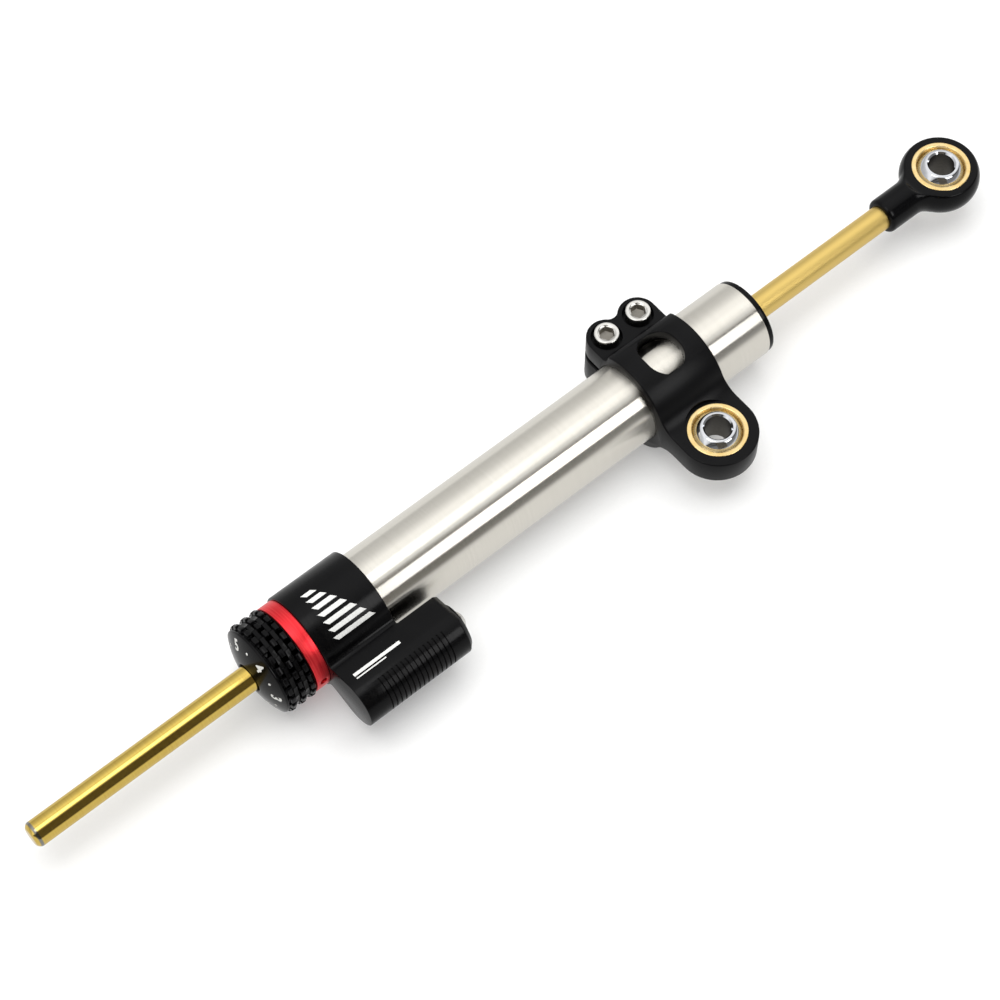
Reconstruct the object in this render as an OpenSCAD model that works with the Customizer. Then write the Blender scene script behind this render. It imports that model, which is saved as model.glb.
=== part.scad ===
// Motorcycle steering damper: a rod runs right through an oil-filled tube, a knob on the
// valve body sets the damping, a side reservoir takes up the oil's expansion, and two ball
// joints carry it, one in a clamp on the tube and one in the eye on the rod.
// X runs along the rod. Drawn with x = 0 on the valve body's front face and the rod's axis
// at y = z = 0, then moved so that the clamp's ball centre is the origin. Millimetres.

/* [Rod] */
// Diameter of the rod
rod_d = 8; // [7:0.1:8.6]
// Bare rod ahead of the knob's dome, at rest
rod_bare_front = 74.9; // [66:0.1:90]
// Bare rod between the rear end cap and the rod eye, at rest
rod_bare_rear = 55.8; // [50:0.1:70]
// Chamfer on the rod's bare tip
rod_chamfer = 1.1; // [0.4:0.1:2]

/* [Cylinder] */
// Bore of the inner cylinder that the piston runs in
bore_d = 16; // [15:0.1:20]
// Wall of the inner cylinder
cylinder_wall = 1.2; // [0.8:0.1:2]
// Ring-shaped oil passage between the inner cylinder and the outer tube
bypass_gap = 1.6; // [1:0.1:2.5]
// Wall of the outer tube
tube_wall = 1.9; // [1.2:0.1:3]
// Length of the outer tube
tube_len = 156.2; // [140:0.1:180]
// Chamfer on the outer tube's ends
tube_chamfer = 0.3; // [0.1:0.05:0.6]
// Diameter of the cross ports at the rear of the inner cylinder
port_d = 3; // [1.5:0.1:4]
// Number of cross ports
port_count = 4; // [2:1:6]

/* [Piston] */
// Distance from the tube's front end to the piston's middle, at rest
piston_set = 67.7; // [64:0.1:78]
// Length of the piston
piston_len = 10; // [7:0.5:14]
// Width of the piston ring
piston_ring_w = 3.2; // [2:0.1:4.5]
// Depth of the piston ring
piston_ring_t = 1.0; // [0.6:0.1:1.6]
// Thickness of each retaining clip
clip_t = 0.9; // [0.6:0.1:1.4]
// Depth of the clip grooves in the rod
clip_groove = 0.5; // [0.3:0.05:0.8]
// Height of each clip above the rod
clip_rise = 1.4; // [0.8:0.1:2]

/* [Valve body] */
// Length of the collar round the tube
collar_len = 23.2; // [22:0.1:30]
// Wall of the collar outside the tube
collar_wall = 2.25; // [1.9:0.05:4]
// How deep the tube sits in the collar
socket_depth = 10.2; // [8:0.1:12]
// Chamfer on the collar's edges
collar_chamfer = 0.5; // [0.2:0.05:0.8]
// Bore of the reservoir
reservoir_bore_d = 12; // [11:0.1:14]
// Wall of the reservoir
reservoir_wall = 2; // [1.6:0.1:3]
// Web between the collar and the reservoir
web = 2; // [0.5:0.1:6]
// How far the reservoir's inner side reaches beyond its round, towards the tube
reservoir_land = 1.4; // [0.4:0.1:1.8]
// Slope of the reservoir's flanks down towards the tube, in degrees
flank_slope = 15; // [8:1:20]
// How far the reservoir's bore lies nearer the tube than its round
bore_shift = 1.2; // [0:0.1:1.4]
// Chamfer round the reservoir's rear end
end_chamfer = 1.5; // [0.8:0.1:1.6]
// Length of the reservoir
reservoir_len = 37.6; // [33:0.1:44]
// Floor at the front of the reservoir's bore
reservoir_floor = 3; // [2:0.1:5]
// Number of grooves along the reservoir's outer side
groove_count = 15; // [8:1:16]
// Pitch of the grooves
groove_pitch = 1.614; // [1.2:0.002:1.7]
// Width of each groove
groove_w = 0.7; // [0.4:0.05:1]
// Depth of each groove
groove_depth = 0.55; // [0.2:0.05:1]
// Place of the first groove behind the front face
groove_start = 7.7; // [5:0.1:9]
// How far outside the reservoir's middle the grooves start
groove_shoulder = 1.5; // [1:0.1:5]
// Diameter of the oil passages
passage_d = 2.4; // [1.6:0.1:3]

/* [Reservoir fittings] */
// Thickness of the reservoir cap's rim
cap_rim_t = 0.5; // [0.4:0.1:1.5]
// Width of the cap's rim outside the reservoir's bore
cap_rim_w = 0.2; // [0.1:0.05:0.4]
// Length of the cap's plug inside the bore
cap_plug = 6; // [4.5:0.1:9]
// Thread diameter of the fill screw
fill_d = 5; // [4:0.5:6]
// Diameter of the fill screw's round head
fill_head_d = 7; // [6.5:0.1:9]
// Height of the fill screw's round head
fill_head_h = 2.4; // [1.6:0.1:3]
// Key size of the fill screw
fill_key = 2.5; // [2:0.1:3]
// Length of the floating piston
float_len = 7; // [5:0.1:9]
// Place of the floating piston's middle behind the front face
float_x = 17; // [14:0.1:20]

/* [Adjuster] */
// Length of the knob's grip, from its front edge to its rear face
knob_grip = 10; // [9.6:0.1:14]
// Diameter of the knob over its teeth
knob_d = 29.4; // [29:0.1:34]
// Height of the knob's teeth
tooth_h = 1; // [0.8:0.1:1.8]
// Diameter of the knob's dial face at its edge
dial_d = 28; // [26:0.1:28]
// Height of the dial's dome
dome_h = 3.3; // [1.5:0.1:4]
// Number of rows of teeth
tooth_rows = 3; // [1:1:3]
// Pitch of the rows
row_pitch = 3.45; // [2.5:0.05:3.5]
// Width of a row at the tips
row_w = 1.3; // [0.8:0.1:1.6]
// Number of teeth in a row
tooth_count = 24; // [12:1:30]
// Width of the slots between the teeth
tooth_slot = 1.5; // [0.8:0.1:2]
// Running gap between the knob and the lock ring
knob_gap = 0.3; // [0.25:0.05:1]
// Number of click stops round the knob
click_count = 24; // [12:1:30]
// Width of the lock ring
lock_w = 4.6; // [4:0.1:6]
// Diameter of the lock ring
lock_d = 28.6; // [27.4:0.1:29.8]
// Diameter of the lock ring's spanner holes
spanner_d = 2.4; // [1.5:0.1:3]
// Depth of the lock ring's spanner holes
spanner_depth = 2.2; // [1:0.1:3]
// Length of the lock ring's thread in the valve body
lock_thread = 3; // [2:0.1:3.6]
// Diameter of the click ball
click_ball_d = 2; // [1.6:0.1:2.4]
// Wall of the valve sleeve
sleeve_wall = 1.5; // [1:0.1:1.8]
// Length of the valve sleeve's shoulder
sleeve_shoulder = 4; // [3:0.1:4.6]

/* [Rod guides and seals] */
// Wall of the guide bushes
bush_t = 1; // [0.6:0.1:1.4]
// Length of the guide bushes
bush_len = 10; // [6:0.1:10.2]
// Depth of the rod seals and wipers
seal_t = 2; // [1.6:0.1:2.2]
// Width of each rod seal and wiper
seal_w = 3.5; // [3:0.1:3.8]
// Wall of the rod guide's nose
guide_wall = 1; // [0.7:0.1:1.2]
// Thickness of the rod guide's flange in the tube
guide_flange = 8; // [5:0.1:10]
// Length of the rod guide's spigot in the inner cylinder
guide_spigot = 5; // [3:0.1:7]
// Number of oil notches in the guide's flange
notch_count = 6; // [3:1:8]
// Radius of the oil notches
notch_r = 1.1; // [0.7:0.05:1.4]
// Section diameter of the O-rings
oring_d = 1.2; // [0.9:0.05:1.4]

/* [Rear end cap] */
// Thickness of the end cap's rim
end_rim_t = 1.9; // [1:0.1:3]
// How far the rim stays inside the tube's outside
end_rim_inset = 0.2; // [0:0.05:0.6]
// Rounding of the rim's edge
end_round = 0.8; // [0.3:0.05:0.95]
// Length of the end cap's plug in the tube
end_plug = 23; // [22.6:0.1:30]
// How deep the inner cylinder sits in the end cap
cylinder_seat = 4; // [2:0.1:5]

/* [Clamp] */
// Distance from the tube's rear end to the clamp's middle, at rest
clamp_set = 33.5; // [20:0.1:90]
// Width of the clamp along the tube
clamp_w = 24.6; // [24:0.1:30]
// Wall of the clamp round the tube
clamp_wall = 3.65; // [2.5:0.05:5]
// Distance from the tube's axis to the ball joint's axis
lug_offset = 26; // [24.6:0.1:34]
// Thickness of the clamp's lug
lug_t = 8.8; // [8:0.1:9]
// Hollow fillet between the clamp's ring and its lug
lug_fillet = 8; // [5:0.1:10]
// Clearance round the bearing where it cuts into the fillet
spotface_gap = 0.7; // [0.3:0.1:1]
// Distance from the tube's axis to the flat that the ears start from
ear_root = 9.7; // [9:0.1:11]
// Height of the ears
ear_h = 19.6; // [19:0.1:24]
// Hollow rounding between the two ears
ear_waist = 3; // [2:0.1:5]
// Width of the slit between the clamp's jaws
slit_w = 1.8; // [1:0.1:2.6]
// Height of the slit's middle above the tube's axis
slit_z = 1.5; // [0:0.1:2]
// Width of the window along the tube
window_w = 12; // [8:0.1:14]
// Length of the window round the tube
window_l = 15; // [14.2:0.1:18]

/* [Clamp screws] */
// Thread diameter of the clamp screws
screw_d = 5; // [4.5:0.1:5.4]
// Diameter of the screws' heads
head_d = 7.6; // [7:0.1:9]
// Height of the screws' heads
head_h = 5; // [4:0.1:6]
// How far the heads stand above the ears
head_proud = 2; // [0.5:0.1:3]
// Length of the screws under the head
screw_len = 15; // [10:0.1:16]
// Key size of the clamp screws
screw_key = 4; // [3:0.1:4.4]
// Depth of the screws' key sockets
key_depth = 2.6; // [1.5:0.1:3]
// Wall between the screws and the tube
screw_wall = 1.65; // [1.4:0.05:2.5]
// Gap round the heads in their counterbores
head_gap = 1; // [0.3:0.05:1.4]
// Rim of the ears outside the counterbores
ear_rim = 1.35; // [1:0.05:2]

/* [Ball joints] */
// Bore through the balls, for the mounting bolts
ball_bore_d = 8; // [6:0.1:8.6]
// Diameter of the balls
ball_d = 15.88; // [15.4:0.02:16.2]
// Width of the balls between their flat ends
ball_w = 12; // [10.5:0.1:12.4]
// Chamfer at the mouths of the balls' bores
ball_chamfer = 0.5; // [0.2:0.05:0.8]
// Wall of the bearing races round the balls' middle
race_wall = 1.26; // [1:0.02:1.6]
// Width of the bearing races
race_w = 9; // [9:0.1:9.6]
// Width of the flat end of each race
race_face = 1.5; // [0.8:0.05:1.6]
// Running clearance between a ball and its race
ball_clearance = 0.04; // [0.01:0.01:0.1]

/* [Rod eye] */
// Wall of the rod eye round its race
eye_wall = 3.4; // [2.6:0.1:4.6]
// Thickness of the rod eye between its flats
eye_t = 8.8; // [8:0.1:9]
// How far the eye's side stands out beyond its flats
eye_bulge = 1.3; // [0.8:0.1:2.2]
// Diameter of the neck that holds the rod
neck_d = 11.5; // [11:0.1:14]
// Distance from the neck's mouth to the eye's centre
neck_len = 25.15; // [24:0.05:32]
// How deep the rod goes into the neck
neck_grip = 12; // [8:0.1:14]
// Hollow fillet between the neck and the eye
neck_fillet = 6; // [3:0.1:8]
// Rounding of the neck's mouth
neck_round = 1.2; // [0.4:0.1:1.8]
// How far the eye's flats run into the neck beyond the eye
flat_run_out = 0.9; // [0.4:0.1:2]

/* [Clearances] */
// Radial clearance of pieces that run on each other
run = 0.08; // [0.02:0.01:0.1]
// Radial clearance of the rod in its bushes and seals
rod_run = 0.03; // [0.01:0.005:0.06]
// Radial clearance of pieces that are screwed or pressed together
seat = 0.02; // [0.01:0.005:0.04]
// Radial clearance where the rod passes through with no contact
rod_pass = 0.5; // [0.3:0.05:0.7]
// End gap between stacked pieces
stack = 0.1; // [0.05:0.05:0.3]

/* [Hidden] */
$fn = 96;
tiny = 0.01;
far = 60;

rod_r = rod_d / 2;
bush_r = rod_r + bush_t;
seal_r = rod_r + seal_t;
nose_r = seal_r + guide_wall;
neck_in = nose_r + run;
neck_out = neck_in + sleeve_wall;

cylinder_in = bore_d / 2;
cylinder_out = cylinder_in + cylinder_wall;
tube_in = cylinder_out + bypass_gap;
tube_r = tube_in + tube_wall;
socket_r = tube_r + seat;
collar_r = socket_r + collar_wall;
// The chamber is a little wider than the tube's bore, and the tube's end rests on its step.
chamber_step = 0.2;
chamber_r = tube_in + chamber_step;

tube_start = collar_len - socket_depth;
tube_end = tube_start + tube_len;
tube_oring_x = tube_start + socket_depth * 0.4;
clamp_x = tube_end - clamp_set;
cylinder_start = tube_start + guide_flange;
end_plug_start = tube_end - end_plug;
cylinder_end = end_plug_start + cylinder_seat;
// The seals' pockets end in a web that keeps them apart from the bush.
seal_web = 1;
seal_stack = 2 * seal_w + 3 * stack;
cap_face = tube_end + end_rim_t;
end_oring_x = cap_face - seal_stack + seal_w;

knob_rear = -lock_w - knob_gap;
dial_edge = knob_rear - knob_grip;
dome_top = dial_edge - dome_h;
rod_front = rod_bare_front - dome_top;
rod_rear = cap_face + rod_bare_rear + neck_grip;
dial_r = dial_d / 2;
dome_r = (dial_r * dial_r + dome_h * dome_h) / (2 * dome_h);
tip_r = knob_d / 2;
tooth_floor_r = tip_r - tooth_h;
tooth_flank = 0.35;
row_last = knob_rear - row_w / 2 - tooth_flank - stack;
sleeve_start = dial_edge + stack;
shoulder_start = lock_thread + stack;
valve_start = shoulder_start + sleeve_shoulder;
sleeve_end = tube_start - stack;
valve_x = (valve_start + sleeve_end) / 2;
valve_r = neck_out + 1;
nose_start = sleeve_start + 1;
seal_end = nose_start + seal_stack;
bush_start = seal_end + seal_web;

lock_r = lock_d / 2;
lock_bore = neck_out + run;
gland_oring_x = -lock_w / 2;
click_r = (lock_bore + lock_r) / 2;
click_pocket = lock_w - 0.5;
click_ball_x = knob_rear + stack / 2 + click_ball_d / 2;

reservoir_in = reservoir_bore_d / 2;
reservoir_r = reservoir_in + reservoir_wall;
reservoir_y = -(collar_r + web + reservoir_r);
reservoir_inner = reservoir_y + reservoir_r + reservoir_land;
bore_y = reservoir_y + bore_shift;
// The flanks start just past the reservoir's middle and a little inside its round, so that their
// surfaces cross cleanly.
flank_bite = 0.06;
flank_start = 0.45;
cap_rim_r = reservoir_in + cap_rim_w;
cap_end = reservoir_len + cap_rim_t;
cap_oring_x = reservoir_len - cap_plug / 2;
plug_groove_r = reservoir_in - oring_d - 2 * seat;

clip_gap = 0.1;
piston_x = tube_start + piston_set;
piston_start = piston_x - piston_len / 2;
piston_end = piston_x + piston_len / 2;
ring_start = piston_x - piston_ring_w / 2;
ring_end = piston_x + piston_ring_w / 2;
ring_groove_r = cylinder_in - rod_run - piston_ring_t - seat;

clamp_bore = tube_r + run;
clamp_r = clamp_bore + clamp_wall;
lug_r = clamp_w / 2;
fillet_z = lug_t / 2 + lug_fillet;
fillet_y = sqrt(pow(clamp_r + lug_fillet, 2) - pow(fillet_z, 2));
fillet_touch = clamp_r / (clamp_r + lug_fillet);
counterbore_r = head_d / 2 + head_gap;
ear_r = counterbore_r + ear_rim;
screw_x = clamp_w / 2 - ear_r;
screw_y = clamp_bore + screw_wall + screw_d / 2;
waist_y = sqrt(pow(ear_r + ear_waist, 2) - pow(screw_x, 2));
waist_touch = ear_r / (ear_r + ear_waist);
ear_z = ear_h / 2;
head_seat = ear_z + head_proud - head_h;

ball_r = ball_d / 2;
race_r = ball_r + race_wall;
socket_ball_r = ball_r + ball_clearance;
race_mouth_r = race_r - race_face;

eye_x = rod_rear - neck_grip + neck_len;
eye_r = race_r + eye_wall;
neck_r = neck_d / 2;
// The eye's side is straight in its middle third and tapers to the flats.
eye_side = eye_t / 6;
// The hollow fillet is turned as a few short cones.
fillet_steps = 4;
eye_fillet_y = neck_r + neck_fillet;
// The hollow fillet ends a little inside the eye, so that their surfaces cross cleanly.
eye_bite = 0.3;
eye_touch_r = eye_r - eye_bite;
eye_fillet_x = sqrt(pow(eye_touch_r + neck_fillet, 2) - pow(eye_fillet_y, 2));
eye_touch = eye_touch_r / (eye_touch_r + neck_fillet);

black_anodised = "#1c1c1f";
red_anodised = "#c8262b";
brushed_aluminium = "#cfccc4";
plain_aluminium = "#b9bbbd";
gold_coated = "#c9a23a";
bearing_bronze = "#c79a4b";
bright_steel = "#d7d9dc";
hard_chrome = "#e3e5e8";
nitrile = "#232323";
ptfe = "#e9e6dc";

// Moves a piece from the drawing's axis frame to the part's frame.
module place() {
    translate([-clamp_x, lug_offset, 0]) children();
}

// Turns a profile of [radius, x] round the rod's axis.
module turned() {
    rotate([0, 90, 0]) rotate_extrude() children();
}

// Section of a plain ring, for a turned piece.
module ring_section(r_in, r_out, x0, x1) {
    translate([r_in, x0]) square([r_out - r_in, x1 - x0]);
}

// Section of a ring with its two outer corners chamfered.
module chamfered_section(r_in, r_out, x0, x1, c) {
    polygon([
        [r_in, x0], [r_out - c, x0], [r_out, x0 + c],
        [r_out, x1 - c], [r_out - c, x1], [r_in, x1]
    ]);
}

// Section of an O-ring's groove with its middle at x.
module groove_section(r_in, r_out, x) {
    ring_section(r_in, r_out, x - oring_d / 2, x + oring_d / 2);
}

// An O-ring round the rod's axis.
module oring(mid_r, x) {
    color(nitrile) turned() translate([mid_r, x]) circle(d = oring_d, $fn = 32);
}

// A lipped ring seal on the rod, its lip facing +X when side is 1 and -X when it is -1.
module lip_seal(x0, side) {
    half_w = seal_w / 2;
    x_mid = x0 + half_w;
    lip = seal_w / 3;
    color(nitrile)
    translate([x_mid, 0, 0])
    mirror([side < 0 ? 1 : 0, 0, 0])
    turned()
    polygon([
        [rod_r + rod_run, lip - half_w], [rod_r + seal_t / 3, -half_w], [seal_r - seat, -half_w],
        [seal_r - seat, half_w], [rod_r + seal_t * 0.7, half_w], [rod_r + seal_t / 2, half_w - lip],
        [rod_r + seal_t * 0.3, half_w], [rod_r + rod_run, half_w - lip / 2]
    ]);
}

// Extrudes a section of [y, z] along X.
module along_x(x0, x1) {
    translate([x0, 0, 0]) rotate([90, 0, 90]) linear_extrude(x1 - x0) children();
}

// A round bar along X.
module bar_x(r, x0, x1) {
    translate([x0, 0, 0]) rotate([0, 90, 0]) cylinder(r = r, h = x1 - x0);
}

// Copies across the middle plane z = 0.
module both_faces() {
    children();
    mirror([0, 0, 1]) children();
}

// The drilled ball of a joint, centred on the origin with its bore along Z.
module joint_ball() {
    difference() {
        intersection() {
            sphere(r = ball_r);
            cube([2 * ball_d, 2 * ball_d, ball_w], center = true);
        }
        cylinder(d = ball_bore_d, h = 2 * ball_w, center = true);
        both_faces()
            translate([0, 0, ball_w / 2 - ball_chamfer])
            cylinder(
                r1 = ball_bore_d / 2, r2 = ball_bore_d / 2 + ball_chamfer + tiny, h = ball_chamfer + tiny
            );
    }
}

// The bearing race round a ball, opened by a cone at each face.
module joint_race() {
    cone_h = race_w / 8;
    difference() {
        cylinder(r = race_r, h = race_w, center = true);
        sphere(r = socket_ball_r);
        both_faces()
            translate([0, 0, race_w / 2 - cone_h])
            cylinder(r1 = race_mouth_r - cone_h * 0.6, r2 = race_mouth_r + tiny, h = cone_h + tiny);
    }
}

// A socket-head screw with the underside of its head at z = 0 and its shank pointing down.
module socket_screw(d, shank, head_dia, head_height, key, key_deep) {
    edge = 0.4;
    difference() {
        union() {
            rotate_extrude()
                polygon([
                    [0, 0], [head_dia / 2, 0], [head_dia / 2, head_height - edge],
                    [head_dia / 2 - edge, head_height], [0, head_height]
                ]);
            rotate_extrude()
                polygon([
                    [0, tiny], [d / 2, tiny], [d / 2, edge - shank], [d / 2 - edge, -shank], [0, -shank]
                ]);
        }
        translate([0, 0, head_height - key_deep])
            cylinder(d = key / cos(30), h = key_deep + 1, $fn = 6);
    }
}

module body_tube() {
    color(brushed_aluminium)
    place()
    turned()
    chamfered_section(tube_in, tube_r, tube_start, tube_end, tube_chamfer);
}

module inner_cylinder() {
    port_x = end_plug_start - port_d;
    color(plain_aluminium)
    place()
    difference() {
        turned() ring_section(cylinder_in, cylinder_out, cylinder_start, cylinder_end);
        for (i = [0 : port_count - 1])
            rotate([360 * i / port_count, 0, 0])
            translate([port_x, 0, 0])
            cylinder(d = port_d, h = far, $fn = 32);
    }
}

// Section of the reservoir along X, as far out as r, with its rear chamfer running on past its end.
module reservoir_section(r) {
    over = 1;
    polygon([
        [0, 0], [r, 0], [r, reservoir_len - end_chamfer],
        [r - end_chamfer - over, reservoir_len + over], [0, reservoir_len + over]
    ]);
}

// The reservoir's outer form: round outside, with flat flanks that slope in to the collar, and
// behind the collar only as far as the reservoir's inner side.
module reservoir_form() {
    web_end = collar_len - collar_chamfer / 2;
    translate([0, reservoir_y, 0]) turned() reservoir_section(reservoir_r);
    intersection() {
        translate([0, reservoir_y, 0])
            both_faces()
            rotate([-flank_slope, 0, 0])
            translate([0, flank_start, 0])
            rotate([-90, -90, 0])
            linear_extrude(far)
            reservoir_section(reservoir_r - flank_bite);
        translate([0, 0, -far / 2])
            linear_extrude(far)
            polygon([
                [-1, -far], [far, -far], [far, reservoir_inner],
                [web_end, reservoir_inner], [web_end, 0], [-1, 0]
            ]);
    }
}

module valve_body() {
    color(black_anodised)
    place()
    difference() {
        union() {
            turned() chamfered_section(0, collar_r, 0, collar_len, collar_chamfer);
            reservoir_form();
        }
        translate([reservoir_len, -far, -far]) cube(2 * far);
        bar_x(chamber_r, -1, tube_start + tiny);
        bar_x(socket_r, tube_start, collar_len + 1);
        turned() groove_section(tube_r, tube_r + oring_d + 2 * seat, tube_oring_x);
        translate([0, bore_y, 0]) bar_x(reservoir_in, reservoir_floor, reservoir_len + 1);
        translate([valve_x, reservoir_y, 0])
            rotate([-90, 0, 0])
            cylinder(d = passage_d, h = -reservoir_y, $fn = 32);
        for (i = [0 : groove_count - 1])
            translate([groove_start + i * groove_pitch, reservoir_y, 0]) reservoir_groove();
    }
}

// One cooling groove on the reservoir's round side, centred on its axis.
module reservoir_groove() {
    intersection() {
        turned() ring_section(reservoir_r - groove_depth, reservoir_r + 1, -groove_w / 2, groove_w / 2);
        translate([-far / 2, -far - groove_shoulder, -far / 2]) cube(far);
    }
}

module rod_guide() {
    spigot_r = cylinder_in - seat;
    color(plain_aluminium)
    place()
    difference() {
        union() {
            turned() chamfered_section(0, nose_r, nose_start, tube_start + tiny, 0.3);
            turned() ring_section(0, tube_in - seat, tube_start, cylinder_start);
            turned() ring_section(0, spigot_r, cylinder_start - tiny, cylinder_start + guide_spigot);
        }
        bar_x(seal_r, nose_start - 1, seal_end);
        bar_x(rod_r + rod_pass, nose_start, cylinder_start);
        bar_x(bush_r, bush_start, bush_start + bush_len + tiny);
        bar_x(seal_r, bush_start + bush_len, cylinder_start + guide_spigot + 1);
        for (i = [0 : port_count - 1])
            rotate([360 * i / port_count, 0, 0])
            translate([valve_x, 0, 0])
            cylinder(d = passage_d, h = far, $fn = 32);
        for (i = [0 : notch_count - 1])
            rotate([360 * i / notch_count, 0, 0])
            translate([0, 0, tube_in - notch_r / 3])
            bar_x(notch_r, tube_start - tiny, cylinder_start + tiny);
    }
}

module guide_bush(x0) {
    color(bearing_bronze) turned() ring_section(rod_r + rod_run, bush_r - seat, x0, x0 + bush_len);
}

module front_guide_bush() {
    place() guide_bush(bush_start);
}

module front_rod_seal() {
    place() lip_seal(nose_start + 2 * stack + seal_w, 1);
}

module front_rod_wiper() {
    place() lip_seal(nose_start + stack, -1);
}

module tube_oring() {
    place() oring(tube_r + seat + oring_d / 2, tube_oring_x);
}

module lock_ring() {
    edge = 0.35;
    color(red_anodised)
    place()
    difference() {
        union() {
            turned() chamfered_section(lock_bore, lock_r, -lock_w, 0, edge);
            turned() chamfered_section(lock_bore, chamber_r - seat, -tiny, lock_thread, edge);
        }
        turned() groove_section(lock_bore - 1, neck_out + oring_d + 2 * seat, gland_oring_x);
        for (side = [-1, 1])
            translate([-lock_w / 2, side * (lock_r - spanner_depth), 0])
            rotate([-90 * side, 0, 0])
            cylinder(d = spanner_d, h = far, $fn = 32);
        translate([-lock_w - 1, 0, click_r])
            rotate([0, 90, 0])
            cylinder(d = click_ball_d + 2 * run, h = click_pocket + 1, $fn = 32);
    }
}

module gland_oring() {
    place() oring(neck_out + seat + oring_d / 2, gland_oring_x);
}

module click_ball() {
    color(bright_steel) place() translate([click_ball_x, 0, click_r]) sphere(d = click_ball_d, $fn = 48);
}

module click_spring() {
    wire = 0.4;
    spring_start = click_ball_x + click_ball_d / 2 + stack;
    spring_end = -lock_w + click_pocket;
    color(bright_steel)
    place()
    translate([0, 0, click_r])
    turned()
    ring_section(click_ball_d / 2 - wire, click_ball_d / 2, spring_start, spring_end);
}

module rear_end_cap() {
    rim_r = tube_r - end_rim_inset;
    color(black_anodised)
    place()
    difference() {
        union() {
            turned() ring_section(0, tube_in - seat, end_plug_start, tube_end + tiny);
            turned() {
                ring_section(0, rim_r, tube_end, cap_face - end_round);
                ring_section(0, rim_r - end_round, tube_end, cap_face);
                translate([rim_r - end_round, cap_face - end_round]) circle(r = end_round, $fn = 48);
            }
        }
        bar_x(cylinder_out + seat, end_plug_start - 1, cylinder_end);
        bar_x(bush_r, cylinder_end - 1, cylinder_end + bush_len);
        bar_x(rod_r + rod_pass, cylinder_end, cap_face + 1);
        bar_x(seal_r, cap_face - seal_stack, cap_face + 1);
        turned() groove_section(tube_in - oring_d - 2 * seat, tube_in + 1, end_oring_x);
    }
}

module rear_guide_bush() {
    place() guide_bush(cylinder_end);
}

module rear_rod_seal() {
    place() lip_seal(cap_face - 2 * seal_w - 2 * stack, -1);
}

module rear_rod_wiper() {
    place() lip_seal(cap_face - seal_w - stack, 1);
}

module end_cap_oring() {
    place() oring(tube_in - seat - oring_d / 2, end_oring_x);
}

module reservoir_cap() {
    edge = 0.25;
    hole_r = fill_d / 2 + seat;
    color(black_anodised)
    place()
    translate([0, bore_y, 0])
    difference() {
        union() {
            turned()
                ring_section(hole_r, reservoir_in - seat, reservoir_len - cap_plug, reservoir_len + tiny);
            turned()
                polygon([
                    [hole_r, reservoir_len], [cap_rim_r, reservoir_len], [cap_rim_r, cap_end - edge],
                    [cap_rim_r - edge, cap_end], [hole_r, cap_end]
                ]);
        }
        turned() groove_section(plug_groove_r, reservoir_in + 1, cap_oring_x);
    }
}

module reservoir_cap_oring() {
    place()
    translate([0, bore_y, 0])
    oring(reservoir_in - seat - oring_d / 2, cap_oring_x);
}

// Round-headed screw that closes the reservoir's gas filling hole.
module fill_screw() {
    head_r = fill_head_d / 2;
    cap_h = fill_head_h - 0.4;
    dome = (head_r * head_r + cap_h * cap_h) / (2 * cap_h);
    color(bright_steel)
    place()
    translate([cap_end, bore_y, 0])
    difference() {
        union() {
            turned()
                intersection() {
                    translate([0, fill_head_h - dome]) circle(r = dome);
                    square([head_r, fill_head_h + 1]);
                }
            bar_x(fill_d / 2, -cap_plug, tiny);
        }
        translate([fill_head_h / 3, 0, 0])
            rotate([0, 90, 0])
            cylinder(d = fill_key / cos(30), h = fill_head_h, $fn = 6);
    }
}

// Knob with a domed dial face and rows of square teeth round its grip.
module adjuster_knob() {
    hub_r = neck_out + seat;
    dimple_r = click_ball_d / 2 + run;
    color(black_anodised)
    place()
    difference() {
        union() {
            intersection() {
                translate([dome_top + dome_r, 0, 0]) sphere(r = dome_r);
                bar_x(dial_r, dome_top - 1, dial_edge + 1);
            }
            bar_x(tooth_floor_r, dial_edge + 1 - tiny, knob_rear);
            difference() {
                for (row = [0 : tooth_rows - 1]) tooth_row(row_last - row * row_pitch);
                for (i = [0 : tooth_count - 1])
                    rotate([360 * i / tooth_count, 0, 0])
                    translate([dial_edge, -tooth_slot / 2, tooth_floor_r])
                    cube([knob_grip + 1, tooth_slot, 2 * tooth_h]);
            }
        }
        bar_x(rod_r + rod_pass, dome_top - 1, knob_rear + 1);
        bar_x(hub_r, dial_edge, knob_rear + 1);
        for (i = [0 : click_count - 1])
            rotate([360 * (i + 0.5) / click_count, 0, 0])
            translate([knob_rear + dimple_r / 2, 0, click_r])
            sphere(r = dimple_r, $fn = 24);
    }
}

// One ring of the grip, before its slots are cut.
module tooth_row(x) {
    root_r = tooth_floor_r - 1;
    tip_half = row_w / 2;
    root_half = tip_half + tooth_flank;
    turned()
    polygon([
        [root_r, x - root_half], [tooth_floor_r, x - root_half], [tip_r, x - tip_half],
        [tip_r, x + tip_half], [tooth_floor_r, x + root_half], [root_r, x + root_half]
    ]);
}

// Sleeve that turns with the knob and throttles the oil at its two ports.
module valve_sleeve() {
    color(bright_steel)
    place()
    difference() {
        union() {
            turned() ring_section(neck_in, neck_out, sleeve_start, shoulder_start + tiny);
            turned() ring_section(neck_in, chamber_r - run, shoulder_start, valve_start);
            turned() ring_section(neck_in, valve_r, valve_start - tiny, sleeve_end);
        }
        translate([valve_x, 0, 0]) cylinder(d = passage_d, h = far, center = true, $fn = 32);
    }
}

module piston() {
    color(plain_aluminium)
    place()
    difference() {
        turned() chamfered_section(rod_r + rod_run, cylinder_in - run, piston_start, piston_end, 0.5);
        turned() ring_section(ring_groove_r, cylinder_in + 1, ring_start - stack, ring_end + stack);
    }
}

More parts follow.
